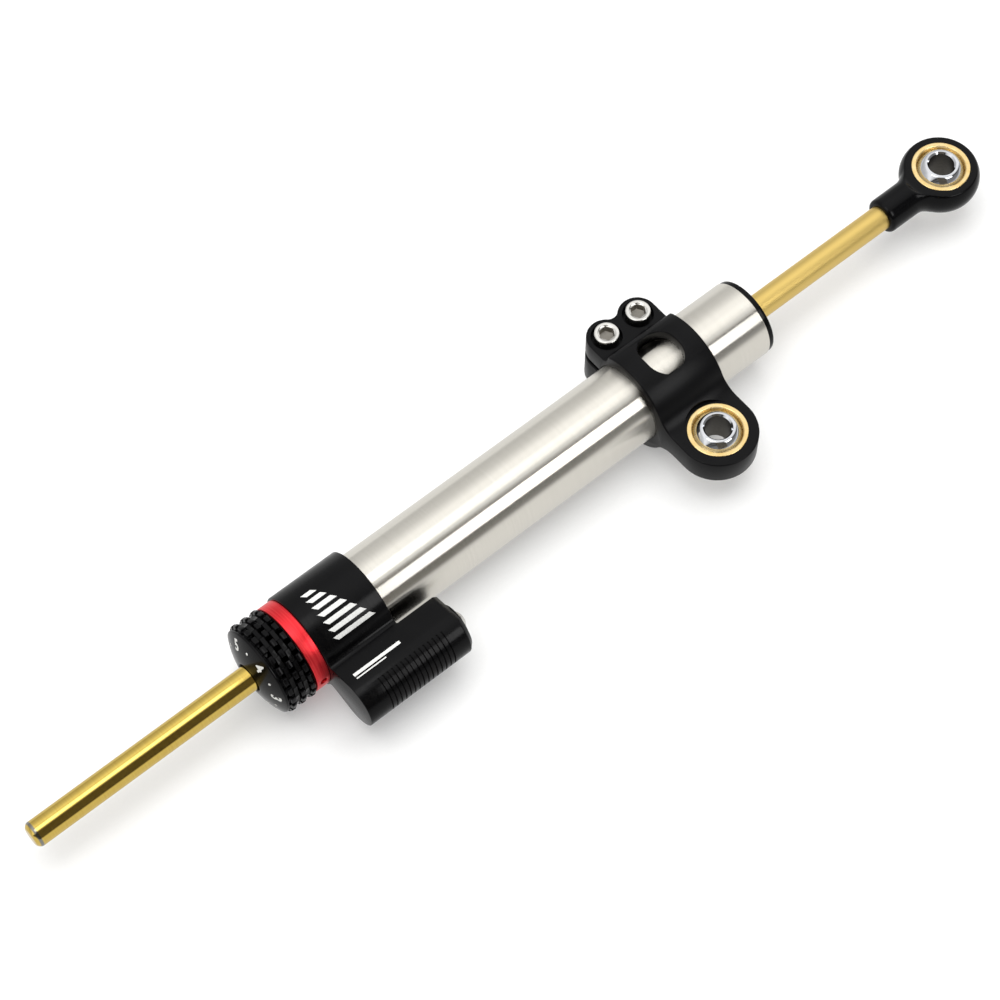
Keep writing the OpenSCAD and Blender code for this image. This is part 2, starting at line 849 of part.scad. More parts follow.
module piston_ring() {
    color(ptfe)
    place()
    turned()
    ring_section(ring_groove_r + seat, cylinder_in - rod_run, ring_start, ring_end);
}

module piston_clips() {
    color(bright_steel)
    place()
    for (x0 = [piston_start - clip_gap - clip_t, piston_end + clip_gap])
        turned() ring_section(rod_r - clip_groove + seat, rod_r + clip_rise, x0, x0 + clip_t);
}

module damper_rod() {
    rear_edge = 0.4;
    color(gold_coated)
    place()
    difference() {
        turned()
            polygon([
                [0, -rod_front], [rod_r - rod_chamfer, -rod_front], [rod_r, rod_chamfer - rod_front],
                [rod_r, rod_rear - rear_edge], [rod_r - rear_edge, rod_rear], [0, rod_rear]
            ]);
        for (x0 = [piston_start - clip_gap - clip_t - seat, piston_end + clip_gap - seat])
            turned() ring_section(rod_r - clip_groove, rod_r + 1, x0, x0 + clip_t + 2 * seat);
    }
}

// Eye for the ball joint at the rod's end, with a round neck that the rod is screwed into.
module rod_eye() {
    mouth = -neck_len;
    rim_start = race_r / 2;
    rim_top_r = eye_r - eye_bulge * (eye_t - eye_side) / (eye_t / 2 - eye_side);
    fillet_turn = atan2(eye_fillet_x, eye_fillet_y);
    fillet_end = -eye_fillet_x * eye_touch / 2;
    color(black_anodised)
    place()
    translate([eye_x, 0, 0])
    difference() {
        union() {
            rotate_extrude()
                polygon([
                    [rim_start, -eye_t], [rim_top_r, -eye_t], [eye_r, -eye_side],
                    [eye_r, eye_side], [rim_top_r, eye_t], [rim_start, eye_t]
                ]);
            turned()
                polygon(concat(
                    [[0, mouth], [neck_r - neck_round, mouth], [neck_r, mouth + neck_round]],
                    [for (i = [0 : fillet_steps])
                        let (turn = fillet_turn * i / fillet_steps)
                        [eye_fillet_y - neck_fillet * cos(turn), neck_fillet * sin(turn) - eye_fillet_x]],
                    [[rim_start, fillet_end], [0, fillet_end]]
                ));
        }
        both_faces() translate([0, 0, eye_t / 2]) cylinder(r = eye_r + flat_run_out, h = far);
        cylinder(r = race_r + seat, h = 2 * far, center = true);
        bar_x(rod_r + seat, mouth - 1, mouth + neck_grip + stack);
    }
}

module rod_eye_race() {
    color(bearing_bronze) place() translate([eye_x, 0, 0]) joint_race();
}

module rod_eye_ball() {
    color(hard_chrome) place() translate([eye_x, 0, 0]) joint_ball();
}

// Section of the clamp across the tube: the ring, the lug and the hollow fillets between them.
module clamp_section() {
    circle(r = clamp_r);
    translate([-lug_offset - lug_r, -lug_t / 2]) square([lug_offset + lug_r, lug_t]);
    for (side = [-1, 1])
        difference() {
            polygon([
                [0, 0], [-fillet_y * fillet_touch, side * fillet_z * fillet_touch],
                [-fillet_y, side * fillet_z], [-fillet_y, 0]
            ]);
            translate([-fillet_y, side * fillet_z]) circle(r = lug_fillet);
        }
}

// The clamp from above: straight sides and a round end on the lug.
module clamp_plan() {
    translate([-lug_r, -lug_offset]) square([clamp_w, lug_offset + clamp_r]);
    translate([0, -lug_offset]) circle(r = lug_r);
}

// The ears from above: a lobe round each screw and a hollow waist between them.
module ear_plan() {
    waist_half = screw_x * (1 - waist_touch);
    translate([-clamp_w / 2, 0]) square([clamp_w, screw_y]);
    for (side = [-1, 1]) translate([side * screw_x, screw_y]) circle(r = ear_r);
    difference() {
        translate([-waist_half, screw_y]) square([2 * waist_half, waist_y * waist_touch]);
        translate([0, screw_y + waist_y]) circle(r = ear_waist);
    }
}

module body_clamp() {
    color(black_anodised)
    difference() {
        translate([0, lug_offset, 0])
        difference() {
            union() {
                intersection() {
                    along_x(-lug_r, lug_r) clamp_section();
                    translate([0, 0, -clamp_r]) linear_extrude(2 * clamp_r) clamp_plan();
                }
                translate([0, 0, -ear_z]) linear_extrude(ear_h) ear_plan();
            }
            bar_x(clamp_bore, -clamp_w, clamp_w);
            both_faces() translate([-clamp_w, ear_root, ear_z]) cube([2 * clamp_w, far, far]);
            translate([-clamp_w, 0, slit_z - slit_w / 2]) cube([2 * clamp_w, far, slit_w]);
            for (side = [-1, 1])
                translate([side * screw_x, screw_y, 0]) {
                    cylinder(d = screw_d + 2 * seat, h = 4 * ear_h, center = true);
                    translate([0, 0, head_seat]) cylinder(r = counterbore_r, h = far);
                }
            for (side = [-1, 1])
                translate([0, side * (window_l - window_w) / 2, 0]) cylinder(d = window_w, h = far);
            translate([-window_w / 2, -(window_l - window_w) / 2, 0])
                cube([window_w, window_l - window_w, far]);
        }
        cylinder(r = race_r + seat, h = 2 * far, center = true);
        both_faces() translate([0, 0, lug_t / 2]) cylinder(r = race_r + spotface_gap, h = far);
    }
}

module clamp_race() {
    color(bearing_bronze) joint_race();
}

module clamp_screws() {
    color(bright_steel)
    translate([0, lug_offset, 0])
    for (side = [-1, 1])
        translate([side * screw_x, screw_y, head_seat])
        socket_screw(screw_d, screw_len, head_d, head_h, screw_key, key_depth);
}

module clamp_ball() {
    color(hard_chrome) joint_ball();
}

module floating_piston() {
    color(plain_aluminium)
    place()
    translate([float_x, bore_y, 0])
    difference() {
        turned() chamfered_section(0, reservoir_in - run, -float_len / 2, float_len / 2, 0.4);
        turned() groove_section(plug_groove_r, reservoir_in + 1, 0);
    }
}

module floating_piston_oring() {
    place() translate([float_x, bore_y, 0]) oring(reservoir_in - seat - oring_d / 2, 0);
}

body_tube();
inner_cylinder();
valve_body();
rod_guide();
front_guide_bush();
front_rod_seal();
front_rod_wiper();
tube_oring();
lock_ring();
gland_oring();
click_ball();
click_spring();
rear_end_cap();
rear_guide_bush();
rear_rod_seal();
rear_rod_wiper();
end_cap_oring();
reservoir_cap();
reservoir_cap_oring();
fill_screw();
adjuster_knob();
valve_sleeve();
piston();
piston_ring();
piston_clips();
damper_rod();
rod_eye();
rod_eye_race();
rod_eye_ball();
body_clamp();
clamp_race();
clamp_screws();
clamp_ball();
floating_piston();
floating_piston_oring();
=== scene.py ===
import math

import bmesh
import bpy
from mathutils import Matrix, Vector


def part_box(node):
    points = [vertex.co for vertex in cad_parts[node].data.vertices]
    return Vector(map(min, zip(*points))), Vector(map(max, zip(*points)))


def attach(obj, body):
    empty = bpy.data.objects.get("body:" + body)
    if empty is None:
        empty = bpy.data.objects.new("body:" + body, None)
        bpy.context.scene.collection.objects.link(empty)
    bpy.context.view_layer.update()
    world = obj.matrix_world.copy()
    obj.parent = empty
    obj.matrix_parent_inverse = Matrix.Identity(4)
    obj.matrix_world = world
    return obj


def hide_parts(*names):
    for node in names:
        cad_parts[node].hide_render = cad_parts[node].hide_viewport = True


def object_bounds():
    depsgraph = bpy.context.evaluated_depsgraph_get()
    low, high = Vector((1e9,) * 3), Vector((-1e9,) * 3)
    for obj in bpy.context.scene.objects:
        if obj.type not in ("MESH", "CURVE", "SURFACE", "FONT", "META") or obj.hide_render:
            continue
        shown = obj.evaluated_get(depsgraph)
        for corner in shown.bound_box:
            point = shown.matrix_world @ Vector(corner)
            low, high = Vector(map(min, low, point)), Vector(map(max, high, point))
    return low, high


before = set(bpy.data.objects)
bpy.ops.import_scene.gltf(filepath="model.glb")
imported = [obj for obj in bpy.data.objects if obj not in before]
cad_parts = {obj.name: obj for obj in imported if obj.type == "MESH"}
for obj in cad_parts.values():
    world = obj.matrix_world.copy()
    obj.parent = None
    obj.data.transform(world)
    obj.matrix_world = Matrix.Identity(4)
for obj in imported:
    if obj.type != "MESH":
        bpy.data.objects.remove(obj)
cad_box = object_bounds()

# Studio: the damper lies on a white paper sheet under soft boxes, in a pale room, and a long lens
# looks down on it from the knob's side. The room's grey bands are what the metal mirrors.
MM = 0.001
CAMERA_PLACE = Vector((-325.39, -289.58, 733.39)) * MM
CAMERA_TARGET = Vector((-61.55, 26.0, -2.94)) * MM
FLOOR_Z = cad_box[0].z
# how much of the sheet is plain white to the camera and in a mirror, and how bright a mirror shows it
WHITE_SEEN, WHITE_MIRRORED, MIRROR_LEVEL = 0.3, 0.75, 0.77


def add_node(tree, kind, links=None, **settings):
    """Adds a node, sets its properties, then sets or links its sockets."""
    node = tree.nodes.new(kind)
    for name, value in settings.items():
        setattr(node, name, value)
    for socket, value in (links or {}).items():
        if isinstance(value, bpy.types.NodeSocket):
            tree.links.new(value, node.inputs[socket])
        else:
            node.inputs[socket].default_value = value
    return node


def linear(hex_colour):
    """An sRGB hex colour as the linear colour that a shader takes."""
    parts = [int(hex_colour[i:i + 2], 16) / 255 for i in (1, 3, 5)]
    return [p / 12.92 if p <= 0.04045 else ((p + 0.055) / 1.055) ** 2.4 for p in parts] + [1.0]


def two_tone(tree, pattern, first, second, start=0.0, end=1.0):
    """A colour that goes from one sRGB tone to another as a pattern's value goes from start to end."""
    ramp = add_node(tree, "ShaderNodeValToRGB", {"Fac": pattern})
    for mark, spot, tone in zip(ramp.color_ramp.elements, (start, end), (first, second)):
        mark.position, mark.color = spot, linear(tone)
    return ramp.outputs["Color"]


bpy.ops.object.select_all(action="DESELECT")
bpy.ops.object.camera_add(location=CAMERA_PLACE)
camera = bpy.context.object
camera.rotation_euler = (CAMERA_TARGET - CAMERA_PLACE).to_track_quat("-Z", "Y").to_euler()
camera.data.lens = 103.84
camera.data.sensor_width = 36
camera.data.clip_end = 50
bpy.context.scene.camera = camera
bpy.context.scene.view_settings.view_transform = "Standard"

bpy.ops.mesh.primitive_plane_add(size=8, location=(0, 0, FLOOR_Z))
sheet = bpy.context.object
sheet.name = "paper_sheet"
paper = bpy.data.materials.new("matt_white_paper")
paper.use_nodes = True
tree = paper.node_tree
path = add_node(tree, "ShaderNodeLightPath")
mirrored = add_node(tree, "ShaderNodeMath", {0: path.outputs["Is Glossy Ray"],
                                             1: path.outputs["Is Transmission Ray"]}, operation="MAXIMUM")
mirrored = add_node(tree, "ShaderNodeMath", {0: mirrored.outputs[0], 1: WHITE_MIRRORED},
                    operation="MULTIPLY")
lift = add_node(tree, "ShaderNodeMath", {0: path.outputs["Is Camera Ray"], 1: WHITE_SEEN,
                                         2: mirrored.outputs[0]}, operation="MULTIPLY_ADD")
glow = add_node(tree, "ShaderNodeMapRange", {"Value": path.outputs["Is Camera Ray"],
                                             "To Min": MIRROR_LEVEL, "To Max": 1.0})
white = add_node(tree, "ShaderNodeEmission", {"Color": linear("#ffffff"), "Strength": glow.outputs[0]})
fibre = add_node(tree, "ShaderNodeTexNoise",
                 {"Vector": add_node(tree, "ShaderNodeTexCoord").outputs["Object"], "Scale": 900.0})
matt = add_node(tree, "ShaderNodeBsdfDiffuse",
                {"Color": two_tone(tree, fibre.outputs["Fac"], "#f4f4f3", "#fafaf9")})
blend = add_node(tree, "ShaderNodeMixShader", {0: lift.outputs[0], 1: matt.outputs[0],
                                               2: white.outputs[0]})
tree.links.new(blend.outputs[0], tree.nodes["Material Output"].inputs["Surface"])
sheet.data.materials.append(paper)

# The room's bands run along the damper, so they are set by the angle round its axis: from straight
# overhead (0) towards the reservoir's side (+), in degrees, with the grey level seen there.
ROOM_BANDS = [(-180, 0.60), (-120, 0.52), (-105, 0.44), (-87, 0.46), (-71, 0.52), (-55, 0.60),
              (-40, 0.80), (-30, 0.96), (-5, 0.96), (8, 0.80), (20, 0.62), (27, 0.40), (30, 0.05),
              (40, 0.05), (46, 0.15), (52, 0.05), (57, 0.05), (60, 0.16), (67, 0.18), (80, 0.20),
              (88, 0.60), (180, 0.60)]
ROOM_LEVEL = 1.35
world = bpy.data.worlds.new("pale_room")
bpy.context.scene.world = world
world.use_nodes = True
tree = world.node_tree
tree.nodes.clear()
way = add_node(tree, "ShaderNodeSeparateXYZ",
               {0: add_node(tree, "ShaderNodeTexCoord").outputs["Generated"]})
side = add_node(tree, "ShaderNodeMath", {0: way.outputs["Y"], 1: -1.0}, operation="MULTIPLY")
turn = add_node(tree, "ShaderNodeMath", {0: side.outputs[0], 1: way.outputs["Z"]}, operation="ARCTAN2")
share = add_node(tree, "ShaderNodeMapRange", {"Value": turn.outputs[0], "From Min": -math.pi,
                                              "From Max": math.pi})
bands = add_node(tree, "ShaderNodeValToRGB", {"Fac": share.outputs[0]})
ramp = bands.color_ramp
while len(ramp.elements) < len(ROOM_BANDS):
    ramp.elements.new(1.0)
for mark, (angle, grey) in zip(ramp.elements, ROOM_BANDS):
    mark.position = (angle + 180) / 360
    mark.color = (grey, grey, grey, 1)
room = add_node(tree, "ShaderNodeBackground", {"Color": bands.outputs["Color"],
                                               "Strength": ROOM_LEVEL})
sky = add_node(tree, "ShaderNodeBackground", {"Color": linear("#ffffff"), "Strength": 1.0})
path = add_node(tree, "ShaderNodeLightPath")
mixed = add_node(tree, "ShaderNodeMixShader", {0: path.outputs["Is Camera Ray"], 1: room.outputs[0],
                                               2: sky.outputs[0]})
add_node(tree, "ShaderNodeOutputWorld", {"Surface": mixed.outputs[0]})

# Each soft box hangs parallel to the damper: its middle along X, the angle round the damper's axis,
# the distance from it, its length along X and its width (m), and its watts.
SOFT_BOXES = [("overhead_box", -0.05, -2, 1.2, 1.3, 1.0, 11.5),
              ("strip_box", 0.1875, 45.2, 0.65, 0.315, 0.32, 1.43),
              ("rod_box", -0.25, 0, 0.65, 0.40, 0.26, 0.62)]
for name, middle, angle, distance, length, width, watts in SOFT_BOXES:
    aim = Vector((middle, CAMERA_TARGET.y, 0))
    turn = math.radians(angle)
    bpy.ops.object.light_add(
        type="AREA", location=aim + Vector((0, -math.sin(turn), math.cos(turn))) * distance)
    lamp = bpy.context.object
    lamp.name = name
    lamp.rotation_euler = (turn, 0, 0)
    lamp.data.shape = "RECTANGLE"
    lamp.data.size, lamp.data.size_y = length, width
    lamp.data.energy = watts
# the overhead box is already in the room's bands, so metal mirrors it there and not twice
bpy.data.objects["overhead_box"].visible_glossy = False
# the strip and the small box over the rod are plain in whatever shines, and add no other light
bpy.data.objects["strip_box"].visible_diffuse = False
bpy.data.objects["rod_box"].visible_diffuse = False

# A dark flag hangs beside the strip, past its end: the polished rod mirrors it as a dark stripe.
FLAG_MIDDLE, FLAG_TURN, FLAG_FAR, FLAG_LONG, FLAG_WIDE = -0.24, 51, 0.62, 0.49, 0.74
turn = math.radians(FLAG_TURN)
bpy.ops.object.select_all(action="DESELECT")
bpy.ops.mesh.primitive_plane_add(size=1, location=Vector((FLAG_MIDDLE, CAMERA_TARGET.y, 0)) + Vector(
    (0, -math.sin(turn), math.cos(turn))) * FLAG_FAR, rotation=(turn, 0, 0))
flag = bpy.context.object
flag.name = "dark_flag"
flag.scale = (FLAG_LONG, FLAG_WIDE, 1)
flag.visible_camera = flag.visible_diffuse = flag.visible_shadow = False
felt = bpy.data.materials.new("grey_felt")
felt.use_nodes = True
tree = felt.node_tree
pile = add_node(tree, "ShaderNodeTexNoise",
                {"Vector": add_node(tree, "ShaderNodeTexCoord").outputs["Object"], "Scale": 400.0})
matt = add_node(tree, "ShaderNodeBsdfDiffuse",
                {"Color": two_tone(tree, pile.outputs["Fac"], "#57524a", "#6b655b")})
tree.links.new(matt.outputs[0], tree.nodes["Material Output"].inputs["Surface"])
flag.data.materials.append(felt)

# Damper rod: ground steel with a gold nitride coat, turned to a chamfer at its bare tip. Polished
# ahead of the knob and satin behind the tube, it runs right through to the rod eye.
tube_low, tube_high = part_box("body_tube")
# the middle of the valve body's front face, from which sizes along the rod are given
datum = Vector((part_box("valve_body")[0].x, (tube_low.y + tube_high.y) / 2, 0))
ROD_R, ROD_CHAMFER = 4.0, 1.1
ROD_TIP, ROD_END = -93.1, 238.9
# where its shine turns from polished to satin (mm from the frame's origin), how rough it is on
# either side and how much the grinding lines add
SATIN_FROM, SATIN_TO = -20, 20
POLISHED, SATIN, LINES = 0.05, 0.4, 0.02
# the stretch behind the tip that holds the worn ring, and how bare the steel is along it, from 0 to 1
WORN_LEN, WORN_RING = 4, [(0.2, 0), (0.26, 1), (0.42, 1), (0.48, 0)]
# a hair between faces that would otherwise lie in the same place, and edges too short to keep
HAIR, SPECK = 0.02, 0.002


def eased(profile, radius, steps=4):
    """Rounds the corners of a profile, as edges are broken after turning."""
    out = [profile[0]]
    for before, corner, after in zip(profile, profile[1:], profile[2:]):
        p, c, q = Vector(before), Vector(corner), Vector(after)
        a = c + (p - c).normalized() * min(radius, (p - c).length / 2.2)
        b = c + (q - c).normalized() * min(radius, (q - c).length / 2.2)
        for i in range(steps + 1):
            t = i / steps
            out.append(tuple(a.lerp(c, t).lerp(c.lerp(b, t), t)))
    return out + [profile[-1]]


def traced(name, points):
    """Starts a piece as a chain of edges through the points, and leaves it in edit mode."""
    bpy.ops.object.select_all(action="DESELECT")
    bpy.ops.mesh.primitive_plane_add(size=MM, location=(0, 0, 0))
    piece = bpy.context.object
    piece.name = piece.data.name = name
    bpy.ops.object.mode_set(mode="EDIT")
    bpy.ops.mesh.select_mode(type="VERT")
    bpy.ops.mesh.select_all(action="SELECT")
    bpy.ops.mesh.merge(type="CENTER")
    bpy.ops.transform.translate(value=points[0])
    for here, there in zip(points, points[1:]):
        bpy.ops.mesh.extrude_region_move(TRANSFORM_OT_translate={"value": there - here})
    bpy.ops.mesh.select_all(action="SELECT")
    return piece


def turned(name, profile, centre, axis=(1, 0, 0), steps=144):
    """A piece from the lathe: profile gives (place along the axis, radius) in millimetres."""
    axis = Vector(axis)
    out = Vector((1, 0, 0)) if axis.z else Vector((0, 0, 1))
    piece = traced(name, [centre + (axis * a + out * r) * MM for a, r in profile])
    bpy.ops.mesh.spin(steps=steps, angle=2 * math.pi, center=centre, axis=axis)
    bpy.ops.mesh.select_all(action="SELECT")
    bpy.ops.mesh.remove_doubles(threshold=SPECK * MM)
    bpy.ops.mesh.normals_make_consistent(inside=False)
    bpy.ops.object.mode_set(mode="OBJECT")
    return piece


def alone(piece):
    """Makes a piece the only one selected."""
    bpy.ops.object.select_all(action="DESELECT")
    piece.select_set(True)
    bpy.context.view_layer.objects.active = piece


def cleaned(piece, limit):
    """Takes away edges shorter than a limit (mm) and faces without area."""
    alone(piece)
    bpy.ops.object.mode_set(mode="EDIT")
    bpy.ops.mesh.select_all(action="SELECT")
    bpy.ops.mesh.dissolve_degenerate(threshold=limit * MM)
    bpy.ops.object.mode_set(mode="OBJECT")


def finished(piece, material, body, slot, *nodes, angle=32):
    """Cleans and smooths a piece, gives it its material and sets it in the place of its CAD nodes."""
    cleaned(piece, SPECK)
    bpy.ops.object.shade_smooth_by_angle(angle=math.radians(angle))
    piece.data.materials.clear()
    piece.data.materials.append(material)
    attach(piece, body)
    if nodes:
        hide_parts(*nodes)


def new_material(name):
    """A material with its node tree, its shader and the piece's own coordinates."""
    material = bpy.data.materials.new(name)
    material.use_nodes = True
    tree = material.node_tree
    place = add_node(tree, "ShaderNodeTexCoord").outputs["Object"]
    return material, tree, tree.nodes["Principled BSDF"], place


def grain(tree, place, along, across=None, detail=3.0, roughness=0.5):
    """A noise pattern: the size of its grain along the rod and, where it differs, across it (mm)."""
    across = across or along
    spread = add_node(tree, "ShaderNodeMapping", {
        "Vector": place, "Scale": [1 / (size * MM) for size in (along, across, across)]})
    return add_node(tree, "ShaderNodeTexNoise", {"Vector": spread.outputs[0], "Scale": 1.0,
                                                 "Detail": detail, "Roughness": roughness}).outputs["Fac"]


def surfaced(tree, shader, colour, pattern, smooth, rough, metal=1.0):
    """Gives a shader its colour, and a roughness that goes from smooth to rough with a pattern."""
    level = add_node(tree, "ShaderNodeMapRange", {"Value": pattern, "To Min": smooth, "To Max": rough})
    tree.links.new(colour, shader.inputs["Base Color"])
    tree.links.new(level.outputs[0], shader.inputs["Roughness"])
    shader.inputs["Metallic"].default_value = metal


def embossed(tree, shader, pattern, strength, depth):
    """Presses a pattern into a shader's surface, to a depth in millimetres."""
    bump = add_node(tree, "ShaderNodeBump", {"Height": pattern, "Strength": strength,
                                             "Distance": depth * MM})
    tree.links.new(bump.outputs[0], shader.inputs["Normal"])


# Gold nitride on ground steel: mirror-bright yellow gold with grinding lines round the rod, drawn
# at 0.5 mm because the real ones, some 0.02 mm apart, are too fine to show. A ring just behind the
# tip's chamfer is rubbed down to the steel.
gold, tree, shader, place = new_material("gold_nitride_on_ground_steel")
along = add_node(tree, "ShaderNodeSeparateXYZ", {0: place})
lines = grain(tree, place, 0.5, 25)
ring = add_node(tree, "ShaderNodeMapRange", {
    "Value": along.outputs["X"], "From Min": datum.x + ROD_TIP * MM,
    "From Max": datum.x + (ROD_TIP + WORN_LEN) * MM})
bare = add_node(tree, "ShaderNodeValToRGB", {"Fac": ring.outputs[0]})
while len(bare.color_ramp.elements) < len(WORN_RING):
    bare.color_ramp.elements.new(1.0)
for mark, (spot, grey) in zip(bare.color_ramp.elements, WORN_RING):
    mark.position, mark.color = spot, (grey, grey, grey, 1)
share = add_node(tree, "ShaderNodeMapRange", {
    "Value": along.outputs["X"], "From Min": SATIN_FROM * MM, "From Max": SATIN_TO * MM})
colour = add_node(tree, "ShaderNodeMix", {
    0: share.outputs[0], 6: two_tone(tree, lines, "#cfb056", "#d8bc63", 0.3, 0.7),
    7: linear("#e2c474")}, data_type="RGBA")
colour = add_node(tree, "ShaderNodeMix", {0: bare.outputs["Color"], 6: colour.outputs[2],
                                          7: linear("#8d8a80")}, data_type="RGBA")
satin = add_node(tree, "ShaderNodeMapRange", {"Value": share.outputs[0], "To Min": POLISHED,
                                              "To Max": SATIN})
rough = add_node(tree, "ShaderNodeMath", {0: lines, 1: LINES, 2: satin.outputs[0]},
                 operation="MULTIPLY_ADD")
tree.links.new(colour.outputs[2], shader.inputs["Base Color"])
tree.links.new(rough.outputs[0], shader.inputs["Roughness"])
embossed(tree, shader, lines, 0.02, 0.02)
shader.inputs["Metallic"].default_value = 1.0

rod = turned("gold_rod", eased([
    (ROD_TIP, 0), (ROD_TIP, ROD_R - ROD_CHAMFER), (ROD_TIP + ROD_CHAMFER, ROD_R), (ROD_END, ROD_R),
    (ROD_END, 0)], 0.55), datum, steps=96)
finished(rod, gold, "rod", "gold_coated_steel", "damper_rod")

# Outer tube: drawn aluminium tube, clear anodised after brushing round its girth on the lathe. Its
# front end sits in the valve body's collar and its rear end is closed by the end cap.
TUBE_R, TUBE_BORE = 12.7, 10.8
TUBE_START, TUBE_END = 13.0, 169.2
# Brushed aluminium: pale warm grey, with brush lines round the tube that blur what it mirrors
# along its length only. They are drawn at 0.4 mm, since the real 0.05 mm is too fine to show.
brushed, tree, shader, place = new_material("brushed_aluminium")
strokes = grain(tree, place, 0.4, 40, 5.0, 0.7)
surfaced(tree, shader, two_tone(tree, strokes, "#dedad0", "#e6e2d9", 0.25, 0.75), strokes, 0.22, 0.28)
embossed(tree, shader, strokes, 0.03, 0.01)
tree.links.new(add_node(tree, "ShaderNodeTangent", axis="X", direction_type="RADIAL").outputs[0],
               shader.inputs["Tangent"])
shader.inputs["Anisotropic"].default_value = 1.0
shader.inputs["Anisotropic Rotation"].default_value = 0.25

tube_middle = (TUBE_START + TUBE_END) / 2
tube = turned("outer_tube", eased([
    (tube_middle, TUBE_BORE), (TUBE_END, TUBE_BORE), (TUBE_END, TUBE_R), (TUBE_START, TUBE_R),
    (TUBE_START, TUBE_BORE), (tube_middle, TUBE_BORE)], 0.3), datum, steps=192)
finished(tube, brushed, "barrel", "brushed_aluminium", "body_tube")

# Rear end cap: turned aluminium plug with a thin rounded rim against the tube's end and a pocket
# for the wiper round the rod, anodised black like the other black parts.
# Black anodised aluminium: near-black dyed oxide, as glossy as the turned metal under it, with
# faint machining marks (about 0.3 mm, drawn at 0.6 mm to show) and a greyer bloom in patches.
def black_anodised(name, bright, dull, along=0.6, across=None, strength=0.05):
    """Black anodised aluminium: how rough its bright and dull spots are, and the size of its marks (mm)."""
    material, tree, shader, place = new_material(name)
    marks = grain(tree, place, along, across, 4.0)
    bloom = grain(tree, place, 9, detail=2.0)
    surfaced(tree, shader, two_tone(tree, bloom, "#040405", "#09090a"), marks, bright, dull, metal=0.0)
    embossed(tree, shader, marks, strength, 0.03)
    shader.inputs["Specular IOR Level"].default_value = 0.12
    return material


anodised = black_anodised("black_anodised_aluminium", 0.1, 0.22)

PLUG_START, PLUG_R, RIM_R, CAP_FACE = 150.4, 10.7, 12.5, TUBE_END + 1.9
BUSH_R, BUSH_END, THROAT_R, WIPER_START, WIPER_R = 5.1, 160.5, 4.5, 163.8, 6.0
outside = [(TUBE_END - HAIR, RIM_R - 0.2), (TUBE_END + 0.05, RIM_R), (CAP_FACE, RIM_R),
           (CAP_FACE, WIPER_R + 0.2)]
inside = [(CAP_FACE - 0.2, WIPER_R), (WIPER_START, WIPER_R), (WIPER_START, THROAT_R),
          (BUSH_END, THROAT_R), (BUSH_END, BUSH_R), (PLUG_START, BUSH_R)]
end_cap = turned("rear_cap", [(PLUG_START, BUSH_R), (PLUG_START, PLUG_R), (TUBE_END - HAIR, PLUG_R)]
                 + eased(outside, 0.75, 6) + inside, datum)
finished(end_cap, anodised, "barrel", "black_anodised", "rear_end_cap")

# Working parts inside: the oil cylinder, guide, bushes, seals, piston and valve parts, kept as the
# CAD has them because the tube and the valve body hide them, each in the metal or rubber it is of.
# Turned aluminium: pale grey with fine tool rings (0.3 mm pitch).
turned_metal, tree, shader, place = new_material("turned_aluminium")
rings = grain(tree, place, 0.3, 20)
surfaced(tree, shader, two_tone(tree, rings, "#b9bbbd", "#d5d6d6"), rings, 0.25, 0.42)
# Bearing bronze: warm yellow metal, machined and then rubbed, with a slight patchy tarnish.
bronze, tree, shader, place = new_material("bearing_bronze")
tarnish = grain(tree, place, 2.5, detail=4.0)
surfaced(tree, shader, two_tone(tree, tarnish, "#e2c27f", "#f1d8a2", 0.3, 0.7), tarnish, 0.2, 0.34)
# Bright steel: stainless, neutral grey, tumbled smooth, with faint cloudy wear (1.5 mm patches).
steel, tree, shader, place = new_material("stainless_steel")
cloud = grain(tree, place, 1.5, detail=5.0)
surfaced(tree, shader, two_tone(tree, cloud, "#cbc9c4", "#e2e0db"), cloud, 0.16, 0.3)
# Nitrile rubber: dull black with a fine moulded texture (0.2 mm).
rubber, tree, shader, place = new_material("nitrile_rubber")
skin = grain(tree, place, 0.2, detail=2.0)
tree.links.new(two_tone(tree, skin, "#141414", "#222222"), shader.inputs["Base Color"])
embossed(tree, shader, skin, 0.1, 0.05)
shader.inputs["Roughness"].default_value = 0.6
# Bronze-filled PTFE: brown, waxy, with specks of the filler (0.15 mm).
ptfe, tree, shader, place = new_material("bronze_filled_ptfe")
specks = add_node(tree, "ShaderNodeTexVoronoi", {"Vector": place, "Scale": 1 / (0.15 * MM)})
tree.links.new(two_tone(tree, specks.outputs["Distance"], "#8a6a3c", "#5d4a33"),
               shader.inputs["Base Color"])
shader.inputs["Roughness"].default_value = 0.45

INSIDE = {
    turned_metal: ("inner_cylinder", "rod_guide", "piston", "floating_piston"),
    bronze: ("front_guide_bush", "rear_guide_bush"),
    steel: ("click_ball", "click_spring", "valve_sleeve", "piston_clips"),
    rubber: ("front_rod_seal", "front_rod_wiper", "rear_rod_seal", "rear_rod_wiper", "tube_oring",
             "gland_oring", "end_cap_oring", "reservoir_cap_oring", "floating_piston_oring"),
    ptfe: ("piston_ring",),
}
for material, nodes in INSIDE.items():
    for name in nodes:
        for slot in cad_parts[name].material_slots:
            slot.material = material

